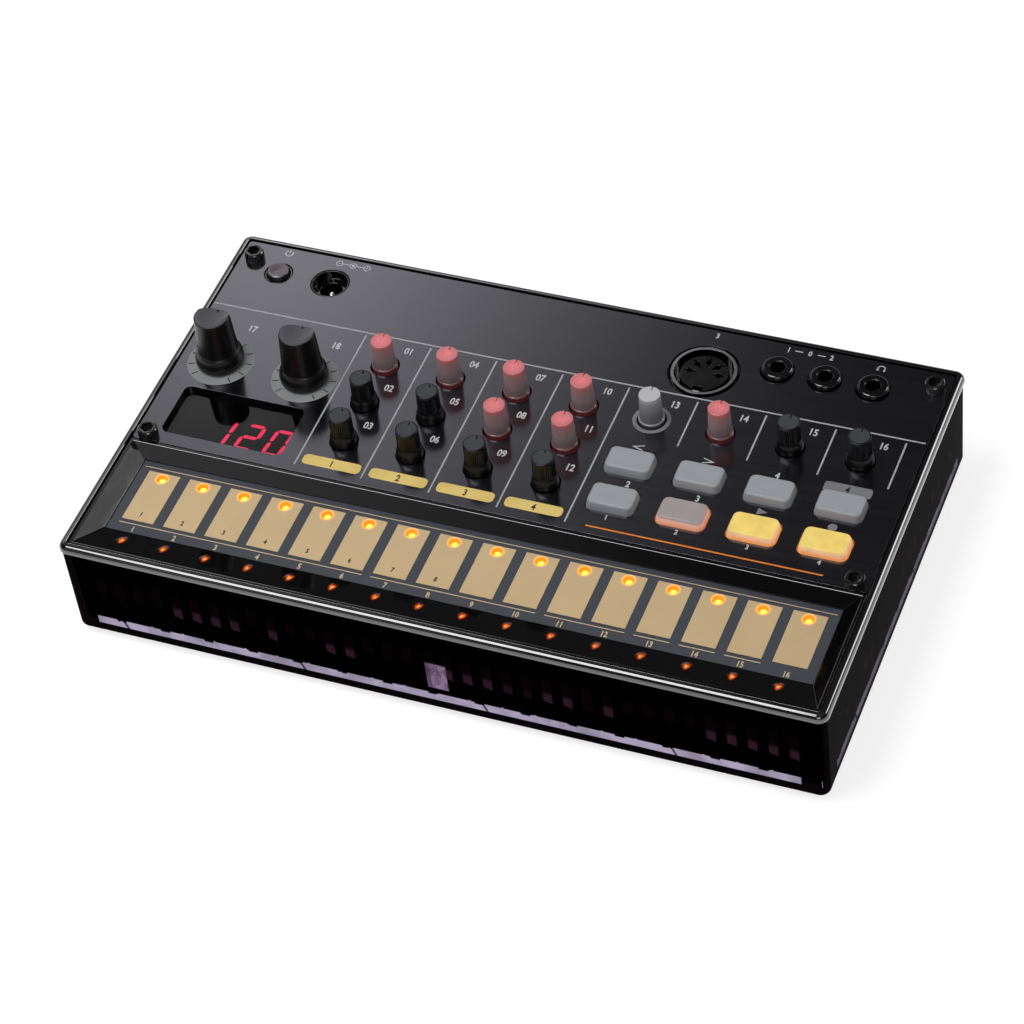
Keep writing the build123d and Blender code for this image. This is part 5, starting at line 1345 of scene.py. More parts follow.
@dataclass
class Panel:
    """The brushed top panel, its four screws and everything printed on it."""

    line: float = 0.42  # width of a ruled line
    view: tuple[float, float, float] = (32.6, 16.4, 2.0)  # opening over the display: sides and radius
    view_at: tuple[float, float] = (-72.1, -6.15)
    divider_x: tuple[float, ...] = (-51.4, -33.8, -16.2, 1.4, 18.8)
    short_x: tuple[float, ...] = (36.6, 54.1, 71.7, 89.2)
    strips: tuple[tuple[float, float], ...] = ((-50.1, -34.9), (-32.5, -17.5), (-14.9, -0.1), (2.7, 17.4))
    knob_label: tuple[float, float] = (3.9, 6.3)

    def build(self) -> None:
        """Recasts the sheet and its screws, then prints on the sheet."""
        view = rounded_rectangle(*self.view) + np.array(self.view_at)
        recast("top_panel", PANEL_METAL, "panel", "dark_panel", Edge(width=0.12), grain=True, opening=view)
        self.screws()
        self.print_lines()
        self.print_figures()
        self.print_signs()

    def screws(self) -> None:
        """Makes the four cap screws: a knurled head with a bright-edged bevel and a six-sided socket.

        The knurl shrinks the radius by a share of (1 - cos(30 a)) / 2. The socket's radius at angle a
        is its half width divided by the cosine of a folded to a sixth of a turn.
        """
        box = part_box("panel_screws")
        low = float(box[0][2]) / MM
        rows = np.array(
            [[0, low], [1.45, low], [1.5, low + 0.2], [1.5, 30.4], [2.42, 30.42], [2.5, 30.55], [2.5, 32.3],
             [2.44, 32.55], [2.2, 32.8], [1.75, 32.84], [1.4, 32.8], [1.36, 31.2], [0, 31.05]]
        )
        angle = np.arange(180) * 2 * np.pi / 180
        swell = np.ones((len(rows), 180))
        swell[5:7] = 1 - 0.05 * (1 - np.cos(30 * angle)) / 2
        swell[10:12] = 1 / np.cos((angle + np.pi / 6) % (np.pi / 3) - np.pi / 6)
        form = Form()
        for x in (-90.6, 90.6):
            for y in (-16.2, 49.8):
                form.turned(rows, (x, y), 180, 0, swell)
        seat = Seat("case", ("panel_screws",), "black_screw")
        settle(form.mesh(), "cap_screws", [SCREW_BLACK], seat, Edge(smooth=30.0))

    def flat(self, form: Form, outline: np.ndarray, number: int = 0) -> None:
        """Lays one printed shape on the panel, a hair into it and an ink film above it."""
        form.slab(outline, PANEL_Z - SUNK, PANEL_Z + FILM, number)

    def ruled(self, form: Form, x0: float, y0: float, x1: float, y1: float, number: int = 0) -> None:
        """Prints one straight line of the panel's line width."""
        self.flat(form, ribbon_outline(np.array([[x0, y0], [x1, y1]]), self.line), number)

    def print_lines(self) -> None:
        """Prints the long line, the dividers, the strips, the key tab and the knob scales."""
        form = Form()
        self.ruled(form, -94.0, 31.4, 93.6, 31.4)
        for x in self.divider_x:
            self.ruled(form, x, 30.5, x, -16.0)
        for x in self.short_x:
            self.ruled(form, x, 30.3, x, 14.7)
        self.ruled(form, 24.0, -15.7, 82.7, -15.7, 2)
        for x0, x1 in self.strips:
            outline = rounded_rectangle(x1 - x0, 3.3, 1.2) + np.array([(x0 + x1) / 2, -13.45])
            self.flat(form, outline, 1)
        tab = rounded_rectangle(11.9, 3.3, 0.9) + np.array([80.25, 11.85])
        self.flat(form, tab, 3)
        inks = [INK_GREY, INK_YELLOW, INK_ORANGE, INK_RING]
        settle(form.mesh(), "panel_lines", inks)
        scale = Form()
        high = PANEL_Z + FILM
        for x in LARGE_X:
            ring = np.array([[4.6, PANEL_Z - SUNK], [8.55, PANEL_Z - SUNK], [8.55, high], [4.6, high]])
            scale.turned(ring, (x, LARGE_Y), 96, 0, joined=True)
            for angle in np.radians(90 - np.linspace(-140, 140, 11)):
                way = np.array([np.cos(angle), np.sin(angle)])
                tick = ribbon_outline(np.array([6.5 * way, 8.2 * way]), 0.3) + np.array([x, LARGE_Y])
                scale.slab(tick, high - 0.005, high + 0.012, 1)
        ring = np.array([[3.72, PANEL_Z - SUNK], [4.75, PANEL_Z - SUNK], [4.75, high], [3.72, high]])
        scale.turned(ring, (float(COLUMN_X[4]), KNOB_Y[0]), 72, 2, joined=True)
        settle(scale.mesh(), "knob_scales", [INK_SCALE, INK_DARK, INK_RING])

    def print_figures(self) -> None:
        """Prints plain numbers: one for each knob, key and strip."""
        form = Form()
        low, high = PANEL_Z - SUNK, PANEL_Z + FILM
        rows = [(c, r) for c in range(4) for r in range(3)] + [(c, 0) for c in range(4, 8)]
        for count, (column, row) in enumerate(rows, 1):
            at = (float(COLUMN_X[column]) + self.knob_label[0], KNOB_Y[row] + self.knob_label[1])
            form.lettering(f"{count:02d}", 2.3, at, low, high)
        for count, x in enumerate(LARGE_X, 17):
            form.lettering(f"{count}", 2.3, (x + 3.2, 25.0), low, high)
        for count, (x, y) in enumerate(((27.7, -0.4), (45.3, -0.4), (62.8, 11.9))):
            form.lettering(f"{count + 2}", 2.0, (x + (1.6 if count < 2 else 0.0), y), low, high)
        for count, x in enumerate(COLUMN_X[4:]):
            form.lettering(f"{count + 1}", 1.6, (float(x) + 0.2, -12.0), low, high)
        for count, (x0, x1) in enumerate(self.strips, 1):
            form.lettering(f"{count}", 2.1, ((x0 + x1) / 2, -13.5), high - 0.005, high + 0.015, 1)
        form.lettering("4", 2.1, (80.2, 11.85), high - 0.005, high + 0.015, 1)
        settle(form.mesh(), "panel_figures", [INK_PALE, INK_DARK])

    def print_signs(self) -> None:
        """Prints the signs for power, supply polarity, sockets and keys from plain strokes."""
        form = Form()
        power = np.array([-82.4, 53.4])
        self.flat(form, ribbon_outline(power + 0.95 * arc(128, 412, 22), 0.26))
        self.flat(form, ribbon_outline(power + np.array([[0, 0.25], [0, 1.25]]), 0.26))
        for x in (-68.2, -64.4, -60.6):
            self.flat(form, ribbon_outline(np.array([x, 53.3]) + 0.85 * arc(0, 354, 24), 0.2))
        self.flat(form, disc_outline(0.4, 16) + np.array([-64.4, 53.3]))
        for x0, x1 in ((-67.35, -65.25), (-63.55, -61.45), (-68.6, -67.8), (-61.0, -60.2)):
            self.flat(form, ribbon_outline(np.array([[x0, 53.3], [x1, 53.3]]), 0.2))
        self.flat(form, ribbon_outline(np.array([[-60.6, 52.9], [-60.6, 53.7]]), 0.2))
        for x0, x1 in ((54.0, 56.0), (59.8, 61.8)):
            self.flat(form, ribbon_outline(np.array([[x0, 53.4], [x1, 53.4]]), 0.25))
        low, high = PANEL_Z - SUNK, PANEL_Z + FILM
        for text, x in (("1", 52.4), ("2", 63.4), ("0", 57.9), ("3", 34.0)):
            form.lettering(text, 1.7, (x, 53.4), low, high)
        self.flat(form, ribbon_outline(np.array([76.15, 52.9]) + 0.95 * arc(-20, 200, 18), 0.24))
        for x in (75.3, 77.0):
            self.flat(form, rounded_rectangle(0.5, 0.85, 0.15) + np.array([x, 52.6]))
        for x, way in ((27.7, -1.0), (45.3, 1.0)):
            tip = np.array([[-1.3 * way, 0.8], [1.3 * way, 0.0], [-1.3 * way, -0.8]])
            self.flat(form, ribbon_outline(np.array([x, 11.9]) + tip, 0.26))
        self.flat(form, np.array([[61.7, -1.4], [64.3, -0.35], [61.7, 0.7]]), 1)
        self.flat(form, disc_outline(1.15, 32) + np.array([80.3, -0.6]), 1)
        settle(form.mesh(), "panel_signs", [INK_PALE, INK_RING])


@dataclass
class StepStrip:
    """The sunk step strip: a mitred bezel, the touch board with its pads, and the step lamps."""

    half: float = 94.2
    front: float = -55.2
    back: float = -18.4
    land: float = 0.8
    runs: tuple[float, float, float] = (3.9, 9.0, 2.7)
    slope_z: float = 27.4  # foot of the four slopes
    reflection_size: tuple[float, float] = (1.45, 2.2)  # half width and half length of a painted lamp reflection on the slope

    def frame_ring(self, share: float, height: float) -> np.ndarray:
        """One rectangle of the bezel: each side stands at a share of its own slope run from the mouth."""
        side, front, back = self.runs
        half = self.half - self.land - share * side
        low = self.front + self.land + share * front
        high = self.back - self.land - share * back
        corners = [[half, high], [-half, high], [-half, low], [half, low]]
        return raised(corners, height)

    def outer_ring(self, height: float) -> np.ndarray:
        """The bezel's outside rectangle at a height."""
        half, low, high = self.half, self.front, self.back
        return raised([[half, high], [-half, high], [-half, low], [half, low]], height)

    def build(self) -> None:
        """Makes the bezel and its pieces, from the outside in."""
        form = Form()
        section = [
            self.outer_ring(28.95),
            self.outer_ring(PANEL_Z),
            self.frame_ring(0.0, PANEL_Z),
            self.frame_ring(1.0, self.slope_z),
            self.frame_ring(1.0, STRIP_Z),
            self.frame_ring(0.93, STRIP_Z),
        ]
        form.rings(np.stack(section), joined=True)
        bezel = Seat("case", ("strip_bezel",), "gloss_bezel")
        polished = Edge(smooth=12.0, width=0.26, steps=3, limit=14.0, finish=1)
        settle(form.mesh(), "mitred_bezel", [BEZEL_GLOSS, BEZEL_EDGE], bezel, polished)
        recast("touch_board", STRIP_BOARD, "step_board", "strip_board")
        recast("touch_pads", PAD_TAN, "step_pads", "pad_gold", Edge(width=0.03, steps=1))
        recast("step_leds", AMBER, "step_lamps", "amber_lens")
        self.paint_lamp_reflections()
        self.dress()

    def paint_lamp_reflections(self) -> None:
        """Sets a painted reflection of the step lamp in the front slope for each step, as rings of a small
        low oval dome on it.
        """
        run = self.runs[1]
        fall = PANEL_Z - self.slope_z
        length = math.hypot(run, fall)
        along = np.array([0.0, run / length, -fall / length])
        up = np.array([0.0, fall / length, run / length])
        first_y = self.front + self.land
        height = PANEL_Z - fall * (LAMP_REFLECTION.row_y - first_y) / run
        oval = disc_outline(1.0, 28) * np.array(self.reflection_size)
        form = Form()
        for x in STEP_X:
            middle = np.array([float(x), LAMP_REFLECTION.row_y, height])
            rings = [
                middle + scale * (oval[:, :1] * np.eye(3)[0] + oval[:, 1:] * along) + lift * up
                for scale, lift in ((1.0, -0.1), (1.0, 0.03), (0.8, 0.07), (0.4, 0.1), (0.0, 0.11))
            ]
            form.rings(np.stack(rings))
        settle(form.mesh(), "painted_lamp_reflections", [LAMP_REFLECTION])

    def dress(self) -> None:
        """Prints the fine lines and the step numbers on the board, and the part numbers on the pads."""
        form = Form()
        low, high = STRIP_Z - SUNK, STRIP_Z + FILM
        form.plate(-88.6, -23.72, 88.6, -23.5, low, high)
        groups = ((0, 5), (6, 9), (10, 11), (12, 12), (13, 13), (14, 14))
        for first, last in groups:
            form.plate(STEP_X[first] - 4.4, -42.45, STEP_X[last] + 4.4, -42.2, low, high)
        for count, x in enumerate(STEP_X, 1):
            form.lettering(f"{count}", 1.75, (float(x), -43.95), low, high)
        settle(form.mesh(), "board_print", [INK_TAN])
        marks = Form()
        pad_top = STRIP_Z + 0.15
        for count, x in enumerate(STEP_X[:8], 1):
            marks.lettering(f"{count}", 1.5, (float(x), -39.0), pad_top - SUNK, pad_top + FILM)
        settle(marks.mesh(), "pad_figures", [INK_DARK])


@dataclass
class Display:
    """The dark window and the four-figure segment display under it."""

    places: tuple[float, ...] = (-82.0, -74.55, -67.0, -59.4)
    width: float = 4.1
    height: float = 8.0
    middle_y: float = -8.35
    bar: float = 0.95  # width of a segment
    slant: float = 0.12  # how far a figure leans, for each millimetre of height
    haze: float = 0.5  # how far the painted light of a lit segment spreads
    face_z: float = 27.3
    shown: str = " 120"

    def segments(self) -> dict[str, np.ndarray]:
        """Outlines of the seven bars of one figure, leaning back by the slant.

        Returns:
            Each bar's pointed outline by its usual letter, about the figure's middle.
        """
        half_w, half_h, gap = self.width / 2, self.height / 2, 0.16
        ends = {
            "a": ((-half_w, half_h), (half_w, half_h)),
            "b": ((half_w, half_h), (half_w, 0.0)),
            "c": ((half_w, 0.0), (half_w, -half_h)),
            "d": ((-half_w, -half_h), (half_w, -half_h)),
            "e": ((-half_w, 0.0), (-half_w, -half_h)),
            "f": ((-half_w, half_h), (-half_w, 0.0)),
            "g": ((-half_w, 0.0), (half_w, 0.0)),
        }
        made_bars = {}
        for name, (start, end) in ends.items():
            first, last = np.array(start), np.array(end)
            way = (last - first) / np.linalg.norm(last - first)
            side = np.array([-way[1], way[0]]) * self.bar / 2
            first, last = first + way * gap, last - way * gap
            inner = way * self.bar / 2
            one_side = [first, first + inner - side, last - inner - side]
            bar = np.array([*one_side, last, last - inner + side, first + inner + side])
            bar[:, 0] += bar[:, 1] * self.slant
            made_bars[name] = bar
        return made_bars

    def build(self) -> None:
        """Makes the lens, the module body, and the lit and dark bars on its face."""
        recast("display_window", LENS_DARK, "display_lens", "smoked_lens")
        recast("display_module", MODULE_BLACK, "display_unit", "display_body", Edge(width=0.1))
        lit = {"0": "abcdef", "1": "bc", "2": "abged", " ": ""}
        form = Form()
        for x, figure in zip(self.places, self.shown):
            self.add_figure(form, x, lit[figure])
        inks = [SEGMENT_ON, SEGMENT_OFF, SEGMENT_HAZE]
        settle(form.mesh(), "display_figures", inks)

    def add_figure(self, form: Form, x: float, lit: str) -> None:
        """Adds one figure: its seven bars, a painted haze of light round each bar that is lit, and its dark
        dot.
        """
        low, high = self.face_z - 0.02, self.face_z + 0.03
        for name, bar in self.segments().items():
            spot = bar + np.array([x, self.middle_y])
            form.slab(spot, low, high, 0 if name in lit else 1)
            if name in lit:
                way = spot - spot.mean(axis=0)
                wider = spot + self.haze * way / np.linalg.norm(way, axis=1, keepdims=True)
                form.slab(wider, low, self.face_z + 0.01, 2)
        corner = np.array([x + self.width / 2 + 0.75, self.middle_y - self.height / 2])
        form.slab(disc_outline(0.42, 16) + corner, low, high, 1)


class Moulding(Enum):
    """The two mouldings of the small knobs."""

    CLEAR = "clear"
    BLACK = "black"


@dataclass
class SmallKnob:
    """A slim ridged knob with its own shaft, a flange or a flared skirt, and a pointer notch."""

    moulding: Moulding
    shaft: float = 1.5
    low: float = 22.4
    flange_z: float = FLANGE_Z
    base: float = 2.9
    top: float = 2.65
    top_z: float = GRIP_Z
    ridges: int = 36
    segments: int = 216
    notch: tuple[float, float, float] = (0.34, 1.35, 0.7)

    def profile(self) -> np.ndarray:
        """Half section from the foot of the shaft to the middle of the top.

        Returns:
            Rows of radius and height, with the body divided finely for its ridges.
        """
        foot = [[0, self.low], [self.shaft, self.low], [self.shaft, self.flange_z]]
        if self.moulding is Moulding.CLEAR:
            flange = [[3.3, self.flange_z], [3.3, 31.2], [3.12, 31.42]]
            flange += [[self.base + 0.05, 31.5], [self.base, 31.75]]
        else:
            bead = [[3.3, self.flange_z], [3.42, 30.3], [3.48, 31.2]]
            bead += [[3.38, 32.1], [3.16, 32.8], [2.94, 33.15]]
            flange = [*eased(np.array(bead), 0.4, 3).tolist(), [self.base, 33.3]]
        begin = flange[-1][1]
        top = self.top if self.moulding is Moulding.CLEAR else self.base - 0.1
        body_z = np.linspace(begin + 0.12, self.top_z - 0.34, 16)
        share = (body_z - begin) / (self.top_z - begin)
        body = np.column_stack([self.base + (top - self.base) * share, body_z])
        crown = eased(np.array([body[-1], [top, self.top_z], [0.6, self.top_z - 0.06]]), 0.3, 6)[1:]
        return np.concatenate([np.array(foot), np.array(flange), body, crown, [[0, self.top_z - 0.07]]])

    def swell(self, profile: np.ndarray) -> np.ndarray:
        """Ridges: the radius shrinks by a share of (1 - cos(ridges a)) / 2, only along the body.

        Args:
            profile: rows of radius and height.

        Returns:
            A factor for each row and angle.
        """
        angle = np.arange(self.segments) * 2 * np.pi / self.segments
        height = profile[:, 1]
        foot, head = (31.8, 0.05) if self.moulding is Moulding.CLEAR else (33.4, 0.4)
        rise = np.clip((height - foot) / 0.4, 0, 1) * np.clip((self.top_z - head - height) / 0.4, 0, 1)
        rise = rise * (profile[:, 0] > self.top - 0.1)
        depth = 0.045 if self.moulding is Moulding.CLEAR else 0.05
        return 1 - depth * rise[:, None] * (1 - np.cos(self.ridges * angle)[None, :]) / 2

    def pattern(self) -> bpy.types.Mesh:
        """One knob about the origin, with its notch cut at the back of the top.

        Returns:
            The mesh that each knob of this moulding copies.
        """
        profile = self.profile()
        form = Form()
        form.turned(profile, (0.0, 0.0), self.segments, 0, self.swell(profile))
        width, length, depth = self.notch
        cutter = Form()
        reach = self.top + 0.3
        start, end = reach - length - 0.2, reach + 0.4
        cutter.plate(-width / 2, start, width / 2, end, self.top_z - depth, self.top_z + 0.6)
        return cut_out(form.mesh(), cutter.mesh())


@dataclass
class KnobBank:
    """All sixteen small knobs, each a copy of its moulding's pattern."""

    clear: tuple[tuple[str, int, int], ...] = (
        ("kick_click", 0, 0),
        ("snare_snappy", 1, 0),
        ("tom_low_pitch", 2, 0),
        ("tom_high_pitch", 2, 1),
        ("hat_closed_decay", 3, 0),
        ("hat_open_decay", 3, 1),
        ("sample_speed", 4, 0),
        ("tempo", 5, 0),
    )
    black: tuple[tuple[str, int, int], ...] = (
        ("kick_pitch", 0, 1),
        ("kick_decay", 0, 2),
        ("snare_pitch", 1, 1),
        ("snare_decay", 1, 2),
        ("tom_decay", 2, 2),
        ("hat_grain", 3, 2),
        ("part_level", 6, 0),
        ("volume", 7, 0),
    )

    def build(self) -> None:
        """Copies each pattern to its knobs' places."""
        groups = ((Moulding.CLEAR, self.clear, "clear_knob"), (Moulding.BLACK, self.black, "black_knob"))
        for moulding, knobs, slot in groups:
            pattern = SmallKnob(moulding).pattern()
            for name, column, row in knobs:
                spot = (float(COLUMN_X[column]), KNOB_Y[row])
                mesh = pattern.copy()
                shift(mesh, *spot)
                seat = Seat(name, (f"{name}_knob",), slot)
                settle(mesh, f"{name}_grip", [self.finish(moulding, name)], seat, Edge(smooth=40.0), spot)
            bpy.data.meshes.remove(pattern)

    def finish(self, moulding: Moulding, name: str) -> Finish:
        """The finish of one knob: black, lit, or clear with its lamp off."""
        if moulding is Moulding.BLACK:
            return KNOB_BLACK
        return KNOB_UNLIT if name == "sample_speed" else KNOB_LIT


@dataclass
class LargeKnob:
    """A tall knob with a flared skirt and a scooped top that falls to the back."""

    name: str
    x: float
    y: float = LARGE_Y
    low: float = 30.8
    top_z: float = 46.0
    skirt: float = 6.1
    waist: float = 5.1
    top: float = 4.5
    scoop: float = 8.0
    tilt: float = 12.0
    scoop_front: float = 0.65
    rim: float = 0.22
    segments: int = 160

    def top_height(self, x: np.ndarray, y: np.ndarray) -> np.ndarray:
        """Height of the top: the lower of the flat top and the scoop, blended softly.

        The scoop is a lying cylinder whose axis height falls by the tangent of the tilt with y, so
        its surface is that height minus the square root of scoop^2 - x^2. The soft lower of a and b
        is -k log(exp(-a / k) + exp(-b / k)).

        Args:
            x: distance to the right of the knob's axis.
            y: distance behind the knob's axis.

        Returns:
            The height at each point.
        """
        axis = self.top_z + self.scoop - self.scoop_front - y * math.tan(math.radians(self.tilt))
        hollow = axis - np.sqrt(self.scoop**2 - x**2) / math.cos(math.radians(self.tilt))
        blend = 0.06
        return -blend * np.logaddexp(-self.top_z / blend, -hollow / blend)

    def rings(self) -> np.ndarray:
        """The whole skin as rings: underside, skirt, tapered side, rounded rim and scooped top.

        Returns:
            Array of ring, point, and X, Y, Z about the knob's axis.
        """
        angle = np.arange(self.segments) * 2 * np.pi / self.segments
        skirt = [[4.6, 0.02], [self.skirt - 0.15, 0.0], [self.skirt, 0.8], [self.skirt, 1.9], [5.86, 3.2]]
        skirt += [[5.45, 4.1], [self.waist + 0.03, 4.48], [self.waist, 4.9]]
        line = eased(np.array(skirt) + np.array([0.0, self.low]), 0.4, 5)
        rim = self.top_height(self.top * np.cos(angle), self.top * np.sin(angle))
        start_z = self.low + 4.9
        under = ((0.0, self.low + 1.2), (4.5, self.low + 1.2), (4.6, self.low + 0.02))
        stack = [level_ring(radius, angle, height) for radius, height in (*under, *line)]
        for share in np.linspace(0, 1, 14)[1:-1]:
            radius = self.waist + (self.top - self.waist) * share
            stack.append(level_ring(radius, angle, start_z + (rim - self.rim - start_z) * share))
        for turn in np.linspace(0, np.pi / 2, 7):
            radius = self.top - self.rim * (1 - np.cos(turn))
            stack.append(level_ring(radius, angle, rim - self.rim + self.rim * np.sin(turn)))
        for radius in np.linspace(self.top - self.rim, 0.0, 26)[1:]:
            height = self.top_height(radius * np.cos(angle), radius * np.sin(angle))
            stack.append(level_ring(radius, angle, height))
        return np.stack(stack)

    def build(self) -> None:
        """Makes the knob with its notch, and recasts its shaft."""
        form = Form()
        form.rings(self.rings())
        cutter = Form()
        cutter.plate(-0.26, self.top - 1.4, 0.26, self.top + 1.0, self.top_z - 2.2, self.top_z + 1.0)
        mesh = cut_out(form.mesh(), cutter.mesh())
        shift(mesh, self.x, self.y)
        seat = Seat(self.name, (f"{self.name}_knob",), "black_knob")
        settle(mesh, f"{self.name}_grip", [KNOB_SATIN], seat, Edge(smooth=38.0), (self.x, self.y))
        recast(f"{self.name}_shaft", STEEL, f"{self.name}_spindle", "steel", body=self.name)


@dataclass
class KeyBank:
    """The eight soft keys, each a rounded block with a flange and a stem."""

    width: float = 12.0
    depth: float = 7.7
    corner: float = 1.7
    names: tuple[tuple[str, int, int, Glow], ...] = (
        ("part_back", 4, 0, Glow.NONE),
        ("part_next", 5, 0, Glow.NONE),
        ("mute", 6, 0, Glow.NONE),
        ("function", 7, 0, Glow.NONE),
        ("memory", 4, 1, Glow.NONE),
        ("step_mode", 5, 1, Glow.SIDES),
        ("play", 6, 1, Glow.FULL),
        ("record", 7, 1, Glow.FULL),
    )

    def skin(self) -> np.ndarray:
        """The key as rounded rectangles, one for each inset and height from its underside up.

        The upper edge is a quarter ellipse: the inset grows with 1 - cos t, the height with sin t.

        Returns:
            Array of ring, point, and X, Y, Z about the key's middle.
        """
        t = np.linspace(0, np.pi / 2, 7)
        edge = np.column_stack([0.36 + 0.7 * (1 - np.cos(t)), 31.75 + 0.65 * np.sin(t)])
        flange = [[-1.2, 27.9], [-1.2, 28.7], [0.0, 28.7], [0.0, PANEL_Z]]
        levels = np.concatenate([flange, edge, [[2.4, KEY_TOP_Z]]])
        stack = []
        for inset, height in levels:
            radius = max(self.corner - 0.55 * max(inset, 0.0), 0.5)
            outline = rounded_rectangle(self.width - 2 * inset, self.depth - 2 * inset, radius, 8)
            stack.append(raised(outline, height))
        return np.stack(stack)

    def build(self) -> None:
        """Makes each key in its place with the glow that it shows."""
        finish = {Glow.NONE: KEY_PLAIN, Glow.SIDES: KEY_SIDES, Glow.FULL: KEY_FULL}
        skin = self.skin()
        for name, column, row, glow in self.names:
            spot = np.array([float(COLUMN_X[column]), KEY_Y[row], 0.0])
            form = Form()
            form.rings(skin + spot)
            stem = np.array([[0, 24.2], [1.3, 24.2], [1.5, 24.4], [1.5, 28.0], [0, 28.0]])
            form.turned(stem, (spot[0], spot[1]), 24)
            seat = Seat(name, (f"{name}_key",), "key_silicone")
            settle(form.mesh(), f"{name}_cap", [finish[glow]], seat, Edge(smooth=40.0))


@dataclass
class PowerButton:
    """The round power button in its collar."""

    centre: tuple[float, float] = (-82.2, 45.8)
    radius: float = 2.8
    low: float = 23.8
    top_z: float = 31.6

    def build(self) -> None:
        """Makes the button as a turned cap with a shallow dish, and recasts its switch."""
        wall = [[0, self.low], [self.radius, self.low], [self.radius, self.top_z]]
        dish = [[self.radius - 0.75, self.top_z], [0.4, self.top_z - 0.22]]
        line = eased(np.array(wall + dish), 0.3, 5)
        form = Form()
        form.turned(np.concatenate([line, [[0, self.top_z - 0.23]]]), self.centre, 64)
        seat = Seat("power", ("power_button",), "button_grey")
        settle(form.mesh(), "power_cap", [BUTTON_METAL], seat, Edge(smooth=40.0), self.centre)
        recast("power_switch", SOCKET_BLACK, "power_collar", "component_black", Edge(width=0.12))


@dataclass
class BackSockets:
    """The round socket, the three small jacks and the supply inlet, with their contacts."""

    jack_x: tuple[float, float, float] = (51.85, 64.0, 76.15)
    jack_y: float = 45.8
    leaf_z: tuple[float, float] = (19.0, 27.5)  # foot and head of a contact leaf

    def build(self) -> None:
        """Recasts the socket bodies and adds the spring contacts inside them."""
        recast("din_body", SOCKET_BLACK, "round_socket", "jack_black", Edge(smooth=35.0, width=0.06))
        recast("din_ring", CHROME, "round_socket_ring", "bright_metal", Edge(width=0.12, steps=3))
        recast("din_contacts", BRASS, "round_socket_contacts", "brass")
        for node in ("sync_in_jack", "sync_out_jack", "headphone_jack"):
            recast(node, SOCKET_BLACK, f"{node}_dressed", "jack_black", Edge(smooth=35.0))
        recast("dc_jack", SOCKET_BLACK, "supply_inlet", "jack_black", Edge(width=0.15))
        recast("dc_jack_pin", CHROME, "supply_pin", "bright_metal")
        self.contacts()

    def contacts(self) -> None:
        """Adds bowed leaves inside the jacks: a leaf bulges inward by a half sine of its height."""
        form = Form()
        foot, head = self.leaf_z
        height = np.linspace(foot, head, 12)
        bulge = 0.55 * np.sin(np.pi * (height - foot) / (head - foot))
        side = self.jack_y + np.array([-0.6, -0.6, 0.6, 0.6])
        for x in self.jack_x:
            near = x + 1.78 - bulge
            across = np.stack([near - 0.18, near, near, near - 0.18], axis=1)
            form.rings(np.stack([np.column_stack([r, side, [z] * 4]) for r, z in zip(across, height)]))
        settle(form.mesh(), "jack_leaves", [COPPER_LEAF])


@dataclass
class Innards:
    """What lies under the panel: boards, potentiometers, switches, speaker, contacts and fixings."""

    plain: tuple[tuple[str, Finish, str], ...] = (
        ("threaded_inserts", BRASS, "brass"),
        ("board_fasteners", STEEL, "steel"),
        ("main_board", MAIN_BOARD, "circuit_board"),
        ("small_pots", COMPONENT, "component_black"),
        ("large_pots", COMPONENT, "component_black"),
        ("key_switches", COMPONENT, "component_black"),
        ("speaker_frame", STEEL, "steel"),
        ("speaker_cone", PAPER, "cone_paper"),
        ("speaker_magnet", IRON, "magnet_iron"),
        ("battery_contacts", STEEL, "bright_metal"),
        ("ribbon_cable", CABLE_GREY, "cable_grey"),
    )

    def dress(self) -> None:
        """Recasts each inner solid with its finish."""
        for node, finish, slot in self.plain:
            recast(node, finish, f"{node}_dressed", slot)


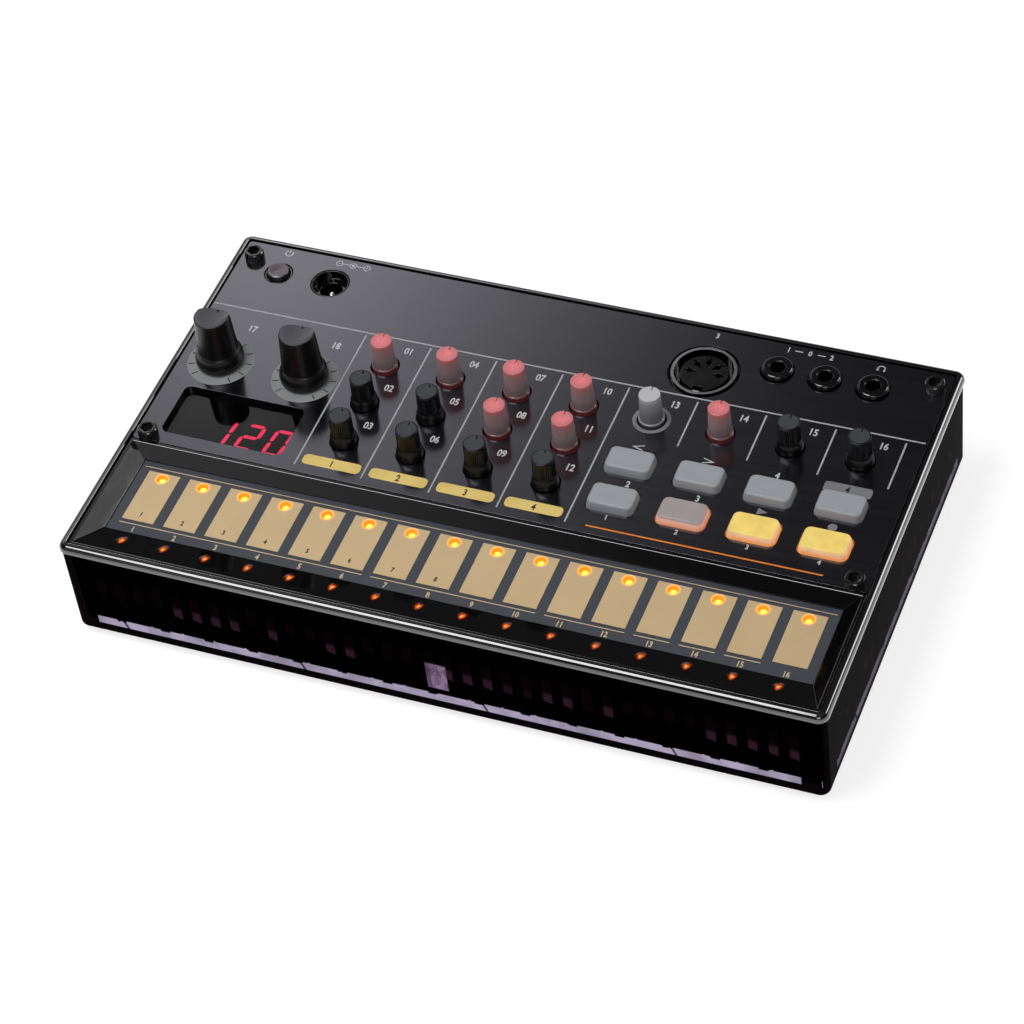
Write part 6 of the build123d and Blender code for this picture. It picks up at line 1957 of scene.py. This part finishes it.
@dataclass
class Studio:
    """Camera, lamps, surroundings and floor."""

    bearing: tuple[float, float] = (0.4619495, 0.8111347)  # azimuth and elevation of the camera
    roll: float = -0.1368621
    distance: float = 0.8693328  # metres from the aim
    aim: tuple[float, float, float] = (-0.00085669, -0.00336726, 0.015)
    lens: float = 125.29
    glow: float = 4.1  # strength of the wide glow
    room: float = 0.045  # strength of the room all round
    floor_level: float = 0.75  # how bright the floor reads by itself

    def camera(self) -> None:
        """Sets the camera on the ray that its bearing gives from the aim, its frame turned by the roll."""
        azimuth, elevation = self.bearing
        level = math.cos(elevation)
        back = np.array([math.sin(azimuth) * level, -math.cos(azimuth) * level, math.sin(elevation)])
        right = np.array([math.cos(azimuth), math.sin(azimuth), 0.0])
        up = np.cross(back, right)
        across = math.cos(self.roll) * right + math.sin(self.roll) * up
        upward = -math.sin(self.roll) * right + math.cos(self.roll) * up
        data = bpy.data.cameras.new("camera")
        data.lens = self.lens
        data.sensor_width = 36.0
        data.clip_start = 0.01
        data.clip_end = 20.0
        holder = bpy.data.objects.new("camera", data)
        spot = np.array(self.aim) + back * self.distance
        turn = Matrix(np.column_stack([across, upward, back]).tolist()).to_4x4()
        holder.matrix_world = Matrix.Translation(Vector(spot.tolist())) @ turn
        bpy.context.scene.collection.objects.link(holder)
        bpy.context.scene.camera = holder

    def lamp(
        self,
        name: str,
        spot: tuple[float, float, float],
        size: tuple[float, float],
        power: float,
        level: bool = False,
    ) -> None:
        """Hangs a soft lamp.

        Args:
            name: name of the lamp.
            spot: its place in metres.
            size: its two sides in metres.
            power: watts.
            level: whether it faces straight down, with its sides along X and Y, or else the object.
        """
        data = bpy.data.lights.new(name, "AREA")
        data.shape = "RECTANGLE"
        data.size, data.size_y = size
        data.energy = power
        holder = bpy.data.objects.new(name, data)
        holder.location = spot
        if not level:
            holder.rotation_mode = "QUATERNION"
            holder.rotation_quaternion = (Vector((0, 0, 0.02)) - Vector(spot)).to_track_quat("-Z", "Y")
        bpy.context.scene.collection.objects.link(holder)

    def surroundings(self) -> None:
        """Lights the world: a dim room, a wide soft glow to the back left, and two faint ones.

        Each glow is a product of smooth steps of the direction's X, Y and Z.
        """
        world = bpy.data.worlds.new("surroundings")
        bpy.context.scene.world = world
        world.use_nodes = True
        nodes = Nodes(world.node_tree)
        background = world.node_tree.nodes["Background"]
        direction = nodes.add("ShaderNodeTexCoord").outputs["Generated"]
        x, y, z = nodes.add("ShaderNodeSeparateXYZ", {0: direction}).outputs
        left = nodes.times(nodes.span(x, -0.50, -0.22, 1.0, 0.0), nodes.span(x, -0.44, -0.37, 0.25, 1.0))
        high = nodes.times(nodes.span(z, 0.42, 0.60), nodes.span(z, 0.80, 0.92, 1.0, 0.0))
        high = nodes.times(high, nodes.span(z, 0.645, 0.73, 1.0, 0.1))
        wide = nodes.times(nodes.times(left, high), nodes.span(y, 0.2, 0.5))
        low = nodes.span(z, 0.38, 0.5)
        left = nodes.span(x, -0.44, -0.24, 1.0, 0.0)
        front_left = nodes.times(nodes.times(left, nodes.span(y, -0.85, -0.55, 1.0, 0.0)), low)
        right = nodes.span(x, 0.36, 0.55)
        back_right = nodes.times(nodes.times(right, nodes.span(y, 0.3, 0.5)), low)
        faint = nodes.plus(nodes.times(front_left, 0.75), nodes.times(back_right, 1.1))
        room = nodes.plus(nodes.span(z, 0.75, 1.0, self.room, self.room + 0.12), faint)
        nodes.fill(background.inputs["Strength"], nodes.plus(nodes.times(wide, self.glow), room))
        background.inputs["Color"].default_value = (1.0, 1.0, 1.0, 1.0)

    def floor(self) -> None:
        """Lays a pale floor that curves up to a low backdrop all round, and reads as white."""
        form = Form()
        outside = [[0, -4], [2700, -4], [2700, 450]]
        inside = [[2690, 450], [2690, 200], [2640, 60], [2500, 0], [0, 0]]
        form.turned(np.array(outside + inside, float), segments=96)
        recipe = Recipe("pale_floor")
        paper = recipe.noise(4.0, 3.0)
        recipe.set(
            Base_Color=recipe.between(paper, hex_colour("#acacac"), hex_colour("#b0b0b0")),
            Roughness=0.9,
            Specular_IOR_Level=0.1,
            Emission_Color=(1.0, 1.0, 1.0, 1.0),
        )
        ray = recipe.add("ShaderNodeLightPath").outputs
        seen = recipe.plus(ray["Is Camera Ray"], ray["Is Glossy Ray"])
        seen = recipe.calc("MINIMUM", recipe.plus(seen, ray["Is Transmission Ray"]), 1.0)
        recipe.set(Emission_Strength=recipe.times(seen, self.floor_level))
        mesh = form.mesh()
        mesh.materials.append(recipe.material)
        piece = bpy.data.objects.new("floor", mesh)
        bpy.context.scene.collection.objects.link(piece)

    def build(self) -> None:
        """Sets up camera, floor, surroundings and lamps."""
        self.camera()
        self.floor()
        self.surroundings()
        self.lamp("left_soft", (-0.325, -0.25, 0.95), (0.5, 0.7), 7.5, True)
        self.lamp("back_right", (0.62, 0.62, 0.46), (0.36, 0.36), 1.8)
        self.lamp("front_fill", (0.40, -1.0, 0.85), (0.6, 0.6), 3.2)


def main() -> None:
    logging.basicConfig(level=logging.INFO, format="%(name)s: %(message)s")
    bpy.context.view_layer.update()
    scene = bpy.context.scene
    scene.view_settings.view_transform = "Standard"
    Studio().build()
    CaseTray().build()
    Panel().build()
    StepStrip().build()
    Display().build()
    KnobBank().build()
    for name, x in zip(("stutter_time", "stutter_depth"), LARGE_X):
        LargeKnob(name, x).build()
    KeyBank().build()
    PowerButton().build()
    BackSockets().build()
    Innards().dress()


if __name__ == "__main__":
    main()
